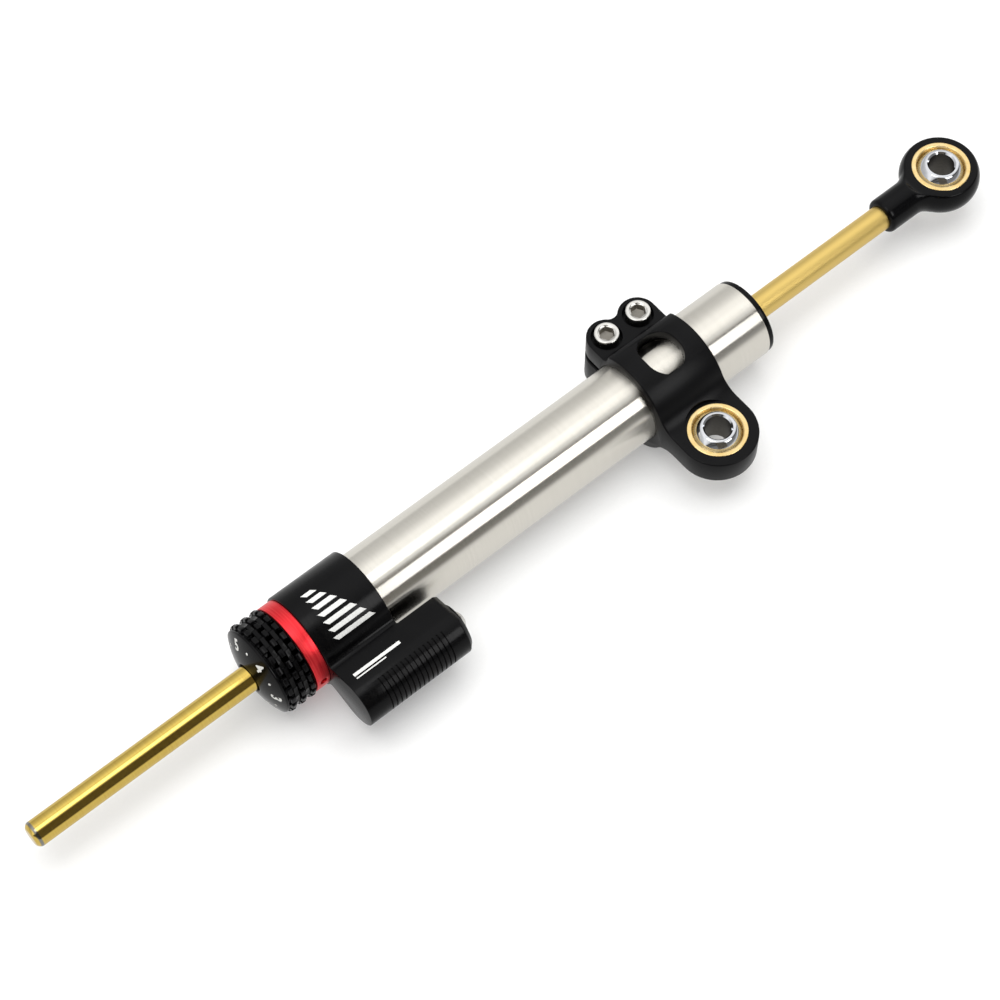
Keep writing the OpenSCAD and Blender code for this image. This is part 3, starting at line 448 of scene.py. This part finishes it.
# Valve body: one machined aluminium block, with the collar that takes the tube's end and, beside
# it, the round reservoir with sloping flanks and grip grooves cut round its outer side. Its rear
# end is chamfered, and a small fillet runs between its flanks and the collar. Anodised glossy black.
COLLAR_R, COLLAR_LEN, COLLAR_BORE = 14.97, 23.2, 11.0
RESERVOIR_Y, RESERVOIR_R, RESERVOIR_END, END_CHAMFER = -24.97, 8.0, 37.6, 1.5
BORE_Y, BORE_R, BORE_START = -23.77, 6.0, 3.0
INNER_Y, FLANK_SLOPE, FILLET, CORNER_CHAMFER = -15.57, 15, 1.8, 0.4
GROOVES, GROOVE_FIRST, GROOVE_PITCH, GROOVE_W, GROOVE_DEPTH = 15, 7.7, 1.614, 0.5, 0.55
GROOVE_SHOULDER = 1.5
# points nearer than this are in the same place (m)
NEAR = 1e-6
reservoir = datum + Vector((0, RESERVOIR_Y, 0)) * MM
reservoir_bore = datum + Vector((0, BORE_Y, 0)) * MM


def arc(centre, radius, start, end, steps):
    """Points along an arc between two angles in degrees."""
    turns = [math.radians(start + (end - start) * i / steps) for i in range(steps + 1)]
    return [(centre[0] + radius * math.cos(t), centre[1] + radius * math.sin(t)) for t in turns]


def prism(name, outline, reach):
    """A piece sawn from plate: an outline of points, filled and drawn out along reach."""
    piece = traced(name, outline)
    bpy.ops.mesh.edge_face_add()
    bpy.ops.mesh.extrude_region_move(TRANSFORM_OT_translate={"value": reach})
    bpy.ops.mesh.select_all(action="SELECT")
    bpy.ops.mesh.normals_make_consistent(inside=False)
    bpy.ops.object.mode_set(mode="OBJECT")
    return piece


def applied(piece, kind, **settings):
    """Adds a modifier to a piece with its settings and applies it."""
    modifier = piece.modifiers.new("worked", kind)
    for name, value in settings.items():
        setattr(modifier, name, value)
    alone(piece)
    bpy.ops.object.modifier_apply(modifier=modifier.name)


def machined(piece, tool, operation="DIFFERENCE"):
    """Cuts a piece with a tool, or joins or trims it, then takes the tool away."""
    applied(piece, "BOOLEAN", operation=operation, solver="EXACT", object=tool)
    bpy.data.objects.remove(tool)


def drill(start, end, radius, centre, axis=(1, 0, 0), steps=144):
    """A plain round tool from one place along an axis to another (mm)."""
    return turned("drill_tool", [(start, 0), (start, radius), (end, radius), (end, 0)], centre, axis, steps)


def edges_broken(piece, width, segments=3, angle=35):
    """Rounds a piece's sharp edges a little, as they are broken after machining."""
    # specks left by the cuts would crumple the rounding, so they go first
    cleaned(piece, 0.35 * width)
    applied(piece, "BEVEL", width=width * MM, segments=segments, limit_method="ANGLE",
            angle_limit=math.radians(angle), miter_outer="MITER_ARC", use_clamp_overlap=False)


def select_faces(piece, wanted):
    """Selects, in edit mode, the faces whose middle and normal are wanted."""
    bpy.ops.mesh.select_mode(type="FACE")
    bpy.ops.mesh.select_all(action="DESELECT")
    mesh = bmesh.from_edit_mesh(piece.data)
    for face in mesh.faces:
        face.select_set(wanted(face.calc_center_median(), face.normal))
    bmesh.update_edit_mesh(piece.data)


def select_points(piece, wanted):
    """Selects, in edit mode, the points whose place is wanted, and the edges between them."""
    bpy.ops.mesh.select_mode(type="VERT")
    bpy.ops.mesh.select_all(action="DESELECT")
    mesh = bmesh.from_edit_mesh(piece.data)
    for point in mesh.verts:
        point.select_set(wanted(point.co))
    mesh.select_flush_mode()
    bmesh.update_edit_mesh(piece.data)


def select_edges(piece, wanted):
    """Selects, in edit mode, the edges whose two ends are wanted."""
    bpy.ops.mesh.select_mode(type="EDGE")
    bpy.ops.mesh.select_all(action="DESELECT")
    mesh = bmesh.from_edit_mesh(piece.data)
    for edge in mesh.edges:
        edge.select_set(wanted(edge.verts[0].co, edge.verts[1].co))
    bmesh.update_edit_mesh(piece.data)


# the flank's line lies flank_off from the collar's axis along its normal, and the fillet's centre
# lies one fillet outside both the flank and the collar
slope = math.radians(FLANK_SLOPE)
flank_off = RESERVOIR_Y * math.sin(slope) + RESERVOIR_R
run = math.sqrt((COLLAR_R + FILLET) ** 2 - (flank_off + FILLET) ** 2)
fillet = ((flank_off + FILLET) * math.sin(slope) - run * math.cos(slope),
          (flank_off + FILLET) * math.cos(slope) + run * math.sin(slope))
meet = math.degrees(math.atan2(fillet[1], fillet[0]))
inner_z = (flank_off - INNER_Y * math.sin(slope)) / math.cos(slope)
top = (arc((RESERVOIR_Y, 0), RESERVOIR_R, 180, 90 - FLANK_SLOPE, 28) + [(INNER_Y, inner_z)]
       + arc(fillet, FILLET, 270 - FLANK_SLOPE, 180 + meet, 8) + arc((0, 0), COLLAR_R, meet, 0, 80)[1:])
outline = top + [(y, -z) for y, z in reversed(top[1:-1])]
valve = prism("valve_housing", [datum + Vector((0, y, z)) * MM for y, z in outline],
              Vector((COLLAR_LEN * MM, 0, 0)))
bpy.ops.object.mode_set(mode="EDIT")
collar_end = datum.x + COLLAR_LEN * MM
rear_end = datum.x + RESERVOIR_END * MM
inner_face = datum.y + INNER_Y * MM


def in_corner(point):
    """Whether a point lies where the reservoir's inner face leaves the collar's rear face."""
    return abs(point.x - collar_end) < NEAR and abs(point.y - inner_face) < NEAR


select_points(valve, in_corner)
bpy.ops.mesh.vert_connect_path()
select_faces(valve, lambda c, n: n.x > 0.9 and c.y < inner_face)
bpy.ops.mesh.extrude_region_move(TRANSFORM_OT_translate={"value": (rear_end - collar_end, 0, 0)})
select_points(valve, in_corner)
bpy.ops.mesh.bevel(offset=CORNER_CHAMFER * MM, segments=1, affect="EDGES")
select_edges(valve, lambda a, b: min(a.x, b.x) > rear_end - NEAR and min(a.y, b.y) < inner_face - NEAR)
bpy.ops.mesh.bevel(offset=END_CHAMFER * MM, segments=1, affect="EDGES")
bpy.ops.mesh.select_all(action="SELECT")
bpy.ops.mesh.normals_make_consistent(inside=False)
bpy.ops.object.mode_set(mode="OBJECT")
machined(valve, turned("socket_tool", [
    (-1, 0), (-1, COLLAR_BORE), (TUBE_START, COLLAR_BORE), (TUBE_START, TUBE_R + HAIR),
    (COLLAR_LEN + 2, TUBE_R + HAIR), (COLLAR_LEN + 2, 0)], datum))
edges_broken(valve, 0.25)
machined(valve, drill(BORE_START, RESERVOIR_END + 2, BORE_R, reservoir_bore))
low, high = GROOVE_FIRST - GROOVE_W / 2, GROOVE_FIRST + GROOVE_W / 2
floor, outer = RESERVOIR_R - GROOVE_DEPTH, RESERVOIR_R + 2
groove_tool = turned("groove_tool", [(low, floor), (high, floor), (high, outer), (low, outer),
                                     (low, floor)], reservoir)
bpy.ops.object.mode_set(mode="EDIT")
bpy.ops.mesh.select_all(action="SELECT")
bpy.ops.mesh.bisect(plane_co=reservoir - Vector((0, GROOVE_SHOULDER * MM, 0)), plane_no=(0, 1, 0),
                    use_fill=True, clear_outer=True)
bpy.ops.object.mode_set(mode="OBJECT")
applied(groove_tool, "ARRAY", count=GROOVES, use_relative_offset=False, use_constant_offset=True,
        constant_offset_displace=(GROOVE_PITCH * MM, 0, 0))
machined(valve, groove_tool)
# its turning marks run round the collar and across the reservoir, about 0.9 mm apart
turned_black = black_anodised("turned_black_aluminium", 0.08, 0.34, 0.9, 25, 0.6)
finished(valve, turned_black, "barrel", "black_anodised", "valve_body")

# Print on the valve body: white ink, a fan of slanted bars on the collar that grow with the turn of
# the knob, and a bold and a fine line on the reservoir's flank.
BARS, BAR_FIRST, BAR_STEP, BAR_TURN, BAR_START, BAR_SLANT = 7, -18, 10.0, 5.5, 5.0, 1.3
BAR_SHORT, BAR_LONG = 3.5, 13.0
# each line's start and length along the rod, its place to the side and its width
FLANK_LINES = ((3.2, 16.5, -21.3, 1.1), (3.2, 10.5, -22.7, 0.45))
INK_OFF = 0.03
# Screen-printing ink: matt off-white, a little uneven where the ink lies thin (0.5 mm patches).
ink, tree, shader, place = new_material("white_printing_ink")
tree.links.new(two_tone(tree, grain(tree, place, 0.5), "#c9c9c6", "#efefec"), shader.inputs["Base Color"])
shader.inputs["Roughness"].default_value = 0.5


def printed(place_of):
    """A patch of ink: place_of gives each point of a unit square its place on the part (mm)."""
    bpy.ops.object.select_all(action="DESELECT")
    bpy.ops.mesh.primitive_grid_add(x_subdivisions=2, y_subdivisions=8, size=1)
    patch = bpy.context.object
    for point in patch.data.vertices:
        point.co = datum + place_of(point.co.x + 0.5, point.co.y + 0.5) * MM
    return patch


def joined(name, pieces):
    """Several patches of ink as one piece."""
    bpy.ops.object.select_all(action="DESELECT")
    for piece in pieces:
        piece.select_set(True)
    bpy.context.view_layer.objects.active = pieces[0]
    bpy.ops.object.join()
    pieces[0].name = pieces[0].data.name = name
    return pieces[0]


def on_collar(x, degrees):
    """A place on the collar, by its distance along the rod and its angle from the top."""
    turn = math.radians(degrees)
    return Vector((x, -math.sin(turn) * (COLLAR_R + INK_OFF), math.cos(turn) * (COLLAR_R + INK_OFF)))


def on_flank(x, y):
    """A place on the reservoir's upper flank, by its distance along the rod and to the side."""
    return Vector((x, y, (flank_off + INK_OFF - y * math.sin(slope)) / math.cos(slope)))


patches = []
for i in range(BARS):
    reach, first = BAR_SHORT + (BAR_LONG - BAR_SHORT) * i / (BARS - 1), BAR_FIRST + BAR_STEP * i
    patches.append(printed(lambda u, v: on_collar(BAR_START + reach * u + BAR_SLANT * v,
                                                  first + BAR_TURN * v)))
for start, reach, side, width in FLANK_LINES:
    patches.append(printed(lambda u, v: on_flank(start + reach * u, side + width * (v - 0.5))))
finished(joined("body_print", patches), ink, "barrel", "black_anodised")

# Reservoir cap: turned aluminium plug pressed into the reservoir's rear end, with a thin rim that
# stands a little proud. Anodised black.
CAP_TOP, CAP_START, CAP_R, CAP_RIM_R, CAP_HOLE = RESERVOIR_END + 0.5, 31.6, 5.9, 6.2, 2.6
cap = turned("reservoir_plug", eased([
    (CAP_START, CAP_HOLE), (CAP_START, CAP_R), (RESERVOIR_END - HAIR, CAP_R),
    (RESERVOIR_END - HAIR, CAP_RIM_R), (CAP_TOP - 0.2, CAP_RIM_R), (CAP_TOP, CAP_RIM_R - 0.2),
    (CAP_TOP, CAP_HOLE), (CAP_START, CAP_HOLE)], 0.1), reservoir_bore)
finished(cap, anodised, "barrel", "black_anodised", "reservoir_cap")

# Fill screw: stainless button-head screw with a hexagon socket, through the middle of the cap.
FILL_HEAD_R, FILL_HEAD_H, FILL_SIDE, FILL_DOME_R, FILL_DOME_TURN = 3.5, 2.4, 0.35, 4.06, 58
FILL_END, FILL_SHANK_R, FILL_SOCKET, SOCKET_FLOOR = 32.3, 2.4, 2.5, 0.8
KEY_LEN = 6
dome = arc((CAP_TOP + FILL_HEAD_H - FILL_DOME_R, 0), FILL_DOME_R, FILL_DOME_TURN, 0, 14)
fill = turned("fill_plug_screw", [
    (FILL_END, 0), (FILL_END, FILL_SHANK_R), (CAP_TOP, FILL_SHANK_R), (CAP_TOP, FILL_HEAD_R),
    (CAP_TOP + FILL_SIDE, FILL_HEAD_R)] + dome, reservoir_bore, steps=72)


def hex_key(centre, axis, width):
    """A hexagon key as a tool, width across its flats, drawn out along axis."""
    axis = Vector(axis)
    up = Vector((1, 0, 0)) if abs(axis.z) > 0.5 else Vector((0, 0, 1))
    across = axis.cross(up)
    corner = width / math.sqrt(3) * MM
    points = [centre + (up * c + across * s) * corner for c, s in arc((0, 0), 1, 0, 300, 5)]
    return prism("key_tool", points, axis * KEY_LEN * MM)


fill_floor = reservoir_bore + Vector((CAP_TOP + SOCKET_FLOOR, 0, 0)) * MM
machined(fill, hex_key(fill_floor, (1, 0, 0), FILL_SOCKET))
edges_broken(fill, 0.12, 2, 40)
finished(fill, steel, "barrel", "bright_steel", "fill_screw")

# Lock ring: turned aluminium ring that clamps the valve's neck, with two radial holes for a pin
# spanner, anodised bright red.
LOCK_R, LOCK_W, LOCK_BORE, THREAD_R, THREAD_END = 14.3, 4.6, 9.9, 10.9, 2.9
SPANNER_R, SPANNER_DEPTH = 1.2, 2.2
# Red anodised aluminium: the metal's own satin shine seen through a clear red dye, with the lathe's
# fine rings (0.2 mm, drawn at 0.4 mm so that they show).
red, tree, shader, place = new_material("red_anodised_aluminium")
rings = grain(tree, place, 0.4, 12.5)
surfaced(tree, shader, two_tone(tree, rings, "#de2832", "#f04246", 0.3, 0.7), rings, 0.28, 0.42, 0.9)

lock_middle = (THREAD_END - LOCK_W) / 2
lock = turned("lock_nut", eased([
    (lock_middle, LOCK_BORE), (-LOCK_W, LOCK_BORE), (-LOCK_W, LOCK_R), (-HAIR, LOCK_R),
    (-HAIR, THREAD_R), (THREAD_END, THREAD_R), (THREAD_END, LOCK_BORE), (lock_middle, LOCK_BORE)],
    0.25), datum)
lock_place = datum - Vector((LOCK_W / 2 * MM, 0, 0))
for side in (-1, 1):
    machined(lock, drill(LOCK_R - SPANNER_DEPTH, LOCK_R + 1, SPANNER_R, lock_place, (0, side, 0), 40))
edges_broken(lock, 0.12, 2, 50)
finished(lock, red, "barrel", "red_anodised", "lock_ring")

# Adjuster knob: turned aluminium cap with three rows of square grip teeth, milled by slots across
# turned ribs, and a domed face with the rod through its middle. Anodised black.
KNOB_REAR, KNOB_FLOOR, KNOB_TIP = -4.9, 13.7, 14.7
KNOB_BORE, KNOB_HUB, KNOB_WEB, EDGE = 4.5, 8.6, -14.9, 0.4
DOME_R, DOME_TOP, DOME_EDGE = 31.35, -18.2, 14.0
RIBS, RIB_TOP, RIB_FOOT = (-12.9, -9.45, -6.0), 0.65, 1.0
SLOTS, SLOT_W, SLOT_START, SLOT_LEN = 24, 1.5, -14.2, 9.5


def dome_x(radius):
    """Place of the knob's domed face along the rod, at a radius from its axis."""
    return DOME_TOP + DOME_R - math.sqrt(DOME_R ** 2 - radius ** 2)


hub_middle = (KNOB_WEB + KNOB_REAR) / 2
mouth = KNOB_BORE + 0.3
face = [mouth + (DOME_EDGE - EDGE - mouth) * i / 14 for i in range(15)]
profile = [(hub_middle, KNOB_HUB), (KNOB_WEB, KNOB_HUB), (KNOB_WEB, KNOB_BORE),
           (dome_x(KNOB_BORE) + 0.3, KNOB_BORE)]
profile += [(dome_x(r), r) for r in face]
profile += [(dome_x(DOME_EDGE), DOME_EDGE - 0.05), (dome_x(DOME_EDGE) + EDGE, DOME_EDGE)]
for rib in RIBS:
    profile += [(rib - RIB_FOOT, KNOB_FLOOR), (rib - RIB_TOP, KNOB_TIP), (rib + RIB_TOP, KNOB_TIP),
                (rib + RIB_FOOT, KNOB_FLOOR)]
profile += [(KNOB_REAR, KNOB_FLOOR), (KNOB_REAR, KNOB_HUB), (hub_middle, KNOB_HUB)]
knob = turned("dial_knob", profile, datum, steps=192)
half, low, high = SLOT_W / 2, KNOB_FLOOR + HAIR, KNOB_TIP + 1
slot_tool = prism("slot_tool", [datum + Vector((SLOT_START, y, z)) * MM for y, z in (
    (-half, low), (half, low), (half, high), (-half, high))], Vector((SLOT_LEN * MM, 0, 0)))
bpy.ops.object.mode_set(mode="EDIT")
bpy.ops.mesh.select_all(action="SELECT")
bpy.ops.mesh.spin(steps=SLOTS - 1, angle=2 * math.pi * (SLOTS - 1) / SLOTS, center=datum,
                  axis=(1, 0, 0), dupli=True)
bpy.ops.object.mode_set(mode="OBJECT")
machined(knob, slot_tool)
edges_broken(knob, 0.22, 3, 30)
finished(knob, anodised, "adjuster", "black_anodised", "adjuster_knob")

# Dial marks: white numbers from 1 to 6 with a dot between each two, printed on the knob's dome.
MARKS, MARK_FIRST, MARK_R, MARK_TURN, MARK_OFF, DOT_R = 6, 3, 10.6, -20.4, 0.05, 0.42
# the figures' height, how much bolder than the font they are, and a figure's share of the font's size
FIGURE_H, FIGURE_BOLD, FONT_SHARE = 3.2, 0.16, 0.7
marks = []
for i in range(2 * MARKS):
    turn = math.radians(MARK_TURN + 180 * i / MARKS)
    up = Vector((0, math.sin(turn), math.cos(turn)))
    right = up.cross(Vector((-1, 0, 0)))
    bpy.ops.object.select_all(action="DESELECT")
    if i % 2 == 0:
        bpy.ops.object.text_add()
        figure = bpy.context.object.data
        figure.body = str(1 + (i // 2 + MARK_FIRST) % MARKS)
        figure.align_x, figure.align_y = "CENTER", "CENTER"
        figure.size = FIGURE_H * MM / FONT_SHARE
        figure.offset = FIGURE_BOLD * MM
        bpy.ops.object.convert(target="MESH")
        bpy.ops.object.mode_set(mode="EDIT")
        bpy.ops.mesh.select_all(action="SELECT")
        bpy.ops.mesh.quads_convert_to_tris()
        bpy.ops.mesh.subdivide(number_cuts=3)
        bpy.ops.object.mode_set(mode="OBJECT")
    else:
        bpy.ops.mesh.primitive_circle_add(vertices=16, radius=DOT_R * MM, fill_type="NGON")
    mark = bpy.context.object
    spot = datum + Vector((DOME_TOP - 2, 0, 0)) * MM + up * MARK_R * MM
    for point in mark.data.vertices:
        point.co = spot + right * point.co.x + up * point.co.y
    marks.append(mark)
dial = joined("dial_marks", marks)
applied(dial, "SHRINKWRAP", target=knob, wrap_method="PROJECT", use_project_x=True,
        use_negative_direction=False, use_positive_direction=True, offset=MARK_OFF * MM)
finished(dial, ink, "adjuster", "black_anodised")

# Body clamp: machined from one aluminium block, a split ring round the tube with a window in its
# crown, a flat lug for the ball joint and two ears that the screws draw together. Anodised black.
RING_R, RING_BORE = 16.43, 12.78
LUG_Y, LUG_R, LUG_T = -26.0, 12.3, 4.4
FILLET_R = 8.0
EAR_START, EAR_T, EAR_R, WAIST_R, STEP_R, SHOULDER_R = 9.7, 9.8, 6.15, 3.0, 2.3, 2.0
SCREW_X, SCREW_Y, SCREW_SEAT, SCREW_HOLE, SCREW_SINK = 6.15, 16.93, 6.8, 2.55, 4.8
SLIT_LOW, SLIT_HIGH, SLIT_START = 0.6, 2.4, 8
WINDOW_X, WINDOW_Y, WINDOW_START = 12.0, 15.0, 4
RACE_SEAT, SPOT_R, SPOT_REACH = 9.22, 9.9, 14
# tools and blanks run past the part, this far to either side of its middle
PAST = 20
# Satin black anodised aluminium: the same dye over a milled and blasted face, which blurs highlights.
satin_black = black_anodised("satin_black_anodised_aluminium", 0.26, 0.38)
ball_low, ball_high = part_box("clamp_ball")
clamp_ball_place = (ball_low + ball_high) / 2
ring_place = Vector((clamp_ball_place.x, datum.y, 0))

fillet_z = LUG_T + FILLET_R
fillet_y = -math.sqrt((RING_R + FILLET_R) ** 2 - fillet_z ** 2)
lean = math.degrees(math.atan2(fillet_z, -fillet_y))
# the ring turns down to the ears over a rounded shoulder, tangent to it and to the upright step
shoulder_y = EAR_START - SHOULDER_R
shoulder_z = math.sqrt((RING_R - SHOULDER_R) ** 2 - shoulder_y ** 2)
ear_turn = math.degrees(math.atan2(shoulder_z, shoulder_y))
ear_reach = SCREW_Y + EAR_R + 2
top_half = ([(LUG_Y - LUG_R - 2, LUG_T)] + arc((fillet_y, fillet_z), FILLET_R, 270, 360 - lean, 14)
            + arc((0, 0), RING_R, 180 - lean, ear_turn, 60)[1:]
            + arc((shoulder_y, shoulder_z), SHOULDER_R, ear_turn, 0, 8)[1:]
            + arc((EAR_START + STEP_R, EAR_T + STEP_R), STEP_R, 180, 270, 10) + [(ear_reach, EAR_T)])
section = top_half + [(y, -z) for y, z in reversed(top_half)]
clamp = prism("split_clamp", [ring_place + Vector((-PAST, y, z)) * MM for y, z in section],
              Vector((2 * PAST * MM, 0, 0)))
waist_y = SCREW_Y + math.sqrt((EAR_R + WAIST_R) ** 2 - SCREW_X ** 2)
pinch = math.degrees(math.atan2(waist_y - SCREW_Y, -SCREW_X))
right_half = (arc((0, LUG_Y), LUG_R, 270, 360, 36) + arc((SCREW_X, SCREW_Y), EAR_R, 0, pinch, 28)
              + arc((0, waist_y), WAIST_R, pinch - 180, -90, 8)[1:])
plan = right_half + [(-x, y) for x, y in reversed(right_half[1:-1])]
machined(clamp, prism("plan_tool", [ring_place + Vector((x, y, -PAST)) * MM for x, y in plan],
                      Vector((0, 0, 2 * PAST * MM))), "INTERSECT")
machined(clamp, drill(-PAST, PAST, RING_BORE, ring_place))
slit = [(SLIT_START, SLIT_LOW), (2 * PAST, SLIT_LOW), (2 * PAST, SLIT_HIGH), (SLIT_START, SLIT_HIGH)]
machined(clamp, prism("slit_tool", [ring_place + Vector((-PAST, y, z)) * MM for y, z in slit],
                      Vector((2 * PAST * MM, 0, 0))))
flank = WINDOW_Y / 2 - WINDOW_X / 2
window = arc((0, flank), WINDOW_X / 2, 0, 180, 24) + arc((0, -flank), WINDOW_X / 2, 180, 360, 24)
machined(clamp, prism("window_tool", [ring_place + Vector((x, y, WINDOW_START)) * MM for x, y in window],
                      Vector((0, 0, PAST * MM))))
edges_broken(clamp, 0.4, 3, 30)
for side in (-1, 1):
    hole = ring_place + Vector((side * SCREW_X, SCREW_Y, 0)) * MM
    machined(clamp, turned("screw_tool", [
        (-PAST, 0), (-PAST, SCREW_HOLE), (SCREW_SEAT, SCREW_HOLE), (SCREW_SEAT, SCREW_SINK),
        (PAST, SCREW_SINK), (PAST, 0)], hole, (0, 0, 1), 64))
for side in (-1, 1):
    machined(clamp, drill(LUG_T, SPOT_REACH, SPOT_R, clamp_ball_place, (0, 0, side), 96))
machined(clamp, drill(-PAST, PAST, RACE_SEAT, clamp_ball_place, (0, 0, 1), 128))
finished(clamp, satin_black, "clamp", "black_anodised", "body_clamp")

# Clamp screws: two stainless socket-head screws, sunk in the ears, with rounded rims and a hexagon
# socket whose mouth is countersunk a little.
HEAD_R, HEAD_TOP, SHANK_R, SCREW_END = 3.8, 11.8, 2.5, -8.2
SOCKET_W, SOCKET_DEPTH, MOUTH_TOP_R, MOUTH_DEPTH = 4.3, 2.8, 2.8, 0.35


def dull_steel_painted_shade(name, dark, light):
    """Dull steel where a key or a bolt goes, its colour painted darker for the shade inside the hole, in
    patches of 0.8 mm.
    """
    material, tree, shader, place = new_material(name)
    mottle = grain(tree, place, 0.8, detail=4.0)
    surfaced(tree, shader, two_tone(tree, mottle, dark, light), mottle, 0.4, 0.55)
    return material


def lined(piece, middle, radius, low, material):
    """Gives a material to a piece's faces above low and within a radius of an upright axis (mm)."""
    piece.data.materials.append(material)
    for face in piece.data.polygons:
        if (face.center - middle).xy.length < radius * MM and face.center.z > middle.z + low * MM:
            face.material_index = 1


# Broached steel: the socket's walls, duller than the head, their colour painted darker for the shade inside
# the socket.
shade_painted_broached = dull_steel_painted_shade("broached_steel", "#87837c", "#a5a199")
for side in (-1, 1):
    hole = ring_place + Vector((side * SCREW_X, SCREW_Y, 0)) * MM
    screw = turned(f"socket_screw_{'front' if side < 0 else 'rear'}", eased([
        (SCREW_END, 0), (SCREW_END, SHANK_R), (SCREW_SEAT, SHANK_R), (SCREW_SEAT, HEAD_R),
        (HEAD_TOP, HEAD_R), (HEAD_TOP, MOUTH_TOP_R), (HEAD_TOP - MOUTH_DEPTH, MOUTH_TOP_R - MOUTH_DEPTH),
        (HEAD_TOP - MOUTH_DEPTH, 0)], 0.5, 5), hole, (0, 0, 1), 72)
    socket_floor = hole + Vector((0, 0, HEAD_TOP - SOCKET_DEPTH)) * MM
    machined(screw, hex_key(socket_floor, (0, 0, 1), SOCKET_W))
    edges_broken(screw, 0.1, 2, 45)
    finished(screw, steel, "clamp", "bright_steel", "clamp_screws")
    # the socket's walls and floor take the steel painted darker for the shade inside it
    lined(screw, hole, SOCKET_W / 2 + 0.2, HEAD_TOP - SOCKET_DEPTH - 0.2, shade_painted_broached)

# Ball joint in the lug: a bronze race pressed into its seat, coned at both mouths, and a bored
# steel ball that swivels in it. The rod eye has the same pair.
BALL_R, BALL_HALF, BOLT_R, BOLT_CHAMFER, FLAT_BREAK = 7.94, 6.0, 4.0, 0.5, 0.12
RACE_R, RACE_HALF, MOUTH_R, GRIP_HALF, RACE_GAP = 9.2, 4.5, 7.7, 3.0, 0.03
# Hard chrome on steel: mirror-bright, faintly blue-grey, with a few hairline scuffs (1 mm).
chrome, tree, shader, place = new_material("hard_chrome")
scuffs = grain(tree, place, 1.0, detail=6.0)
surfaced(tree, shader, two_tone(tree, scuffs, "#c3c5c9", "#d9dadd"), scuffs, 0.05, 0.13)
# Reamed steel: the ball's bore, left without chrome and dull, its colour painted dark for the shade inside
# the bore.
shade_painted_reamed = dull_steel_painted_shade("reamed_steel", "#45423e", "#625f59")


def ball_joint(name, place, ball_body, race_body, ball_node, race_node):
    """A bored ball and the race round it, turned about the bolt's axis at place."""
    cut = math.degrees(math.asin(BALL_HALF / BALL_R))
    zone = [(z, r) for r, z in arc((0, 0), BALL_R, -cut, cut, 40)]
    flat_r, lip_r = zone[0][1] - FLAT_BREAK, BOLT_R + BOLT_CHAMFER
    ball = turned(f"{name}_ball", [(0, BOLT_R), (BOLT_CHAMFER - BALL_HALF, BOLT_R), (-BALL_HALF, lip_r)]
                  + [(-BALL_HALF, flat_r)] + zone[1:-1] + [(BALL_HALF, flat_r)]
                  + [(BALL_HALF, lip_r), (BALL_HALF - BOLT_CHAMFER, BOLT_R), (0, BOLT_R)],
                  place, (0, 0, 1), 96)
    finished(ball, chrome, ball_body, "hard_chrome", ball_node)
    # the bore takes the steel painted dark for the shade inside it
    lined(ball, place, BOLT_R + 0.1, -BALL_HALF, shade_painted_reamed)
    seat = BALL_R + RACE_GAP
    grip = math.degrees(math.asin(GRIP_HALF / seat))
    inner = [(z, r) for r, z in arc((0, 0), seat, -grip, grip, 20)]
    race = turned(f"{name}_race", inner + eased(
        [inner[-1], (RACE_HALF, MOUTH_R), (RACE_HALF, RACE_R), (-RACE_HALF, RACE_R),
         (-RACE_HALF, MOUTH_R), inner[0]], 0.4)[1:], place, (0, 0, 1), 96)
    finished(race, bronze, race_body, "bearing_bronze", race_node)


ball_joint("lug", clamp_ball_place, "clamp_ball", "clamp", "clamp_ball", "clamp_race")

# Rod eye: forged and turned aluminium eye screwed onto the rod, a round neck flowing into a ring
# with flat faces and full, rounded sides. Anodised black and polished.
EYE_R, EYE_T, EYE_SIDE, NECK_R, MOUTH_ROUND = 12.6, 4.4, 8.0, 5.75, 1.2
NECK_LEN, BLEND_R, BLEND_X, BLEND_Y, NECK_FOOT = 25.15, 6.0, -14.03, 11.75, (-8.4, 7.4)
FACE_R, ROD_SOCKET, VOXEL, SMOOTHINGS = 12.2, -13.05, 0.22, 30
ball_low, ball_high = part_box("rod_eye_ball")
eye_place = (ball_low + ball_high) / 2
neck = [(-NECK_LEN, 0)] + arc((MOUTH_ROUND - NECK_LEN, NECK_R - MOUTH_ROUND), MOUTH_ROUND, 180, 90, 6)
neck += arc((BLEND_X, BLEND_Y), BLEND_R, 270, 320, 10) + [NECK_FOOT, (-5, 0)]
eye = turned("rod_end_eye", neck, eye_place, (1, 0, 0), 96)
brink = math.degrees(math.asin(EYE_T / EYE_SIDE))
rim = [(z, r) for r, z in arc((EYE_R - EYE_SIDE, 0), EYE_SIDE, -brink, brink, 24)]
machined(eye, turned("ring_tool", [(-EYE_T, 0)] + rim + [(EYE_T, 0)], eye_place, (0, 0, 1), 128), "UNION")
for face in (-1, 1):
    machined(eye, turned("face_tool", [
        (EYE_T, 0), (EYE_T, FACE_R), (EYE_T + 1, FACE_R + 1.4), (EYE_T + 6, FACE_R + 2.3),
        (EYE_T + 6, 0)], eye_place, (0, 0, face), 96))
applied(eye, "REMESH", mode="VOXEL", voxel_size=VOXEL * MM, use_smooth_shade=True)
applied(eye, "SMOOTH", factor=0.5, iterations=SMOOTHINGS)
machined(eye, drill(-PAST, PAST, RACE_SEAT, eye_place, (0, 0, 1), 128))
machined(eye, drill(-2 * PAST, ROD_SOCKET, ROD_R + HAIR, eye_place, steps=96))
finished(eye, anodised, "rod", "black_anodised", "rod_eye", angle=50)
ball_joint("eye", eye_place, "rod_ball", "rod", "rod_eye_ball", "rod_eye_race")
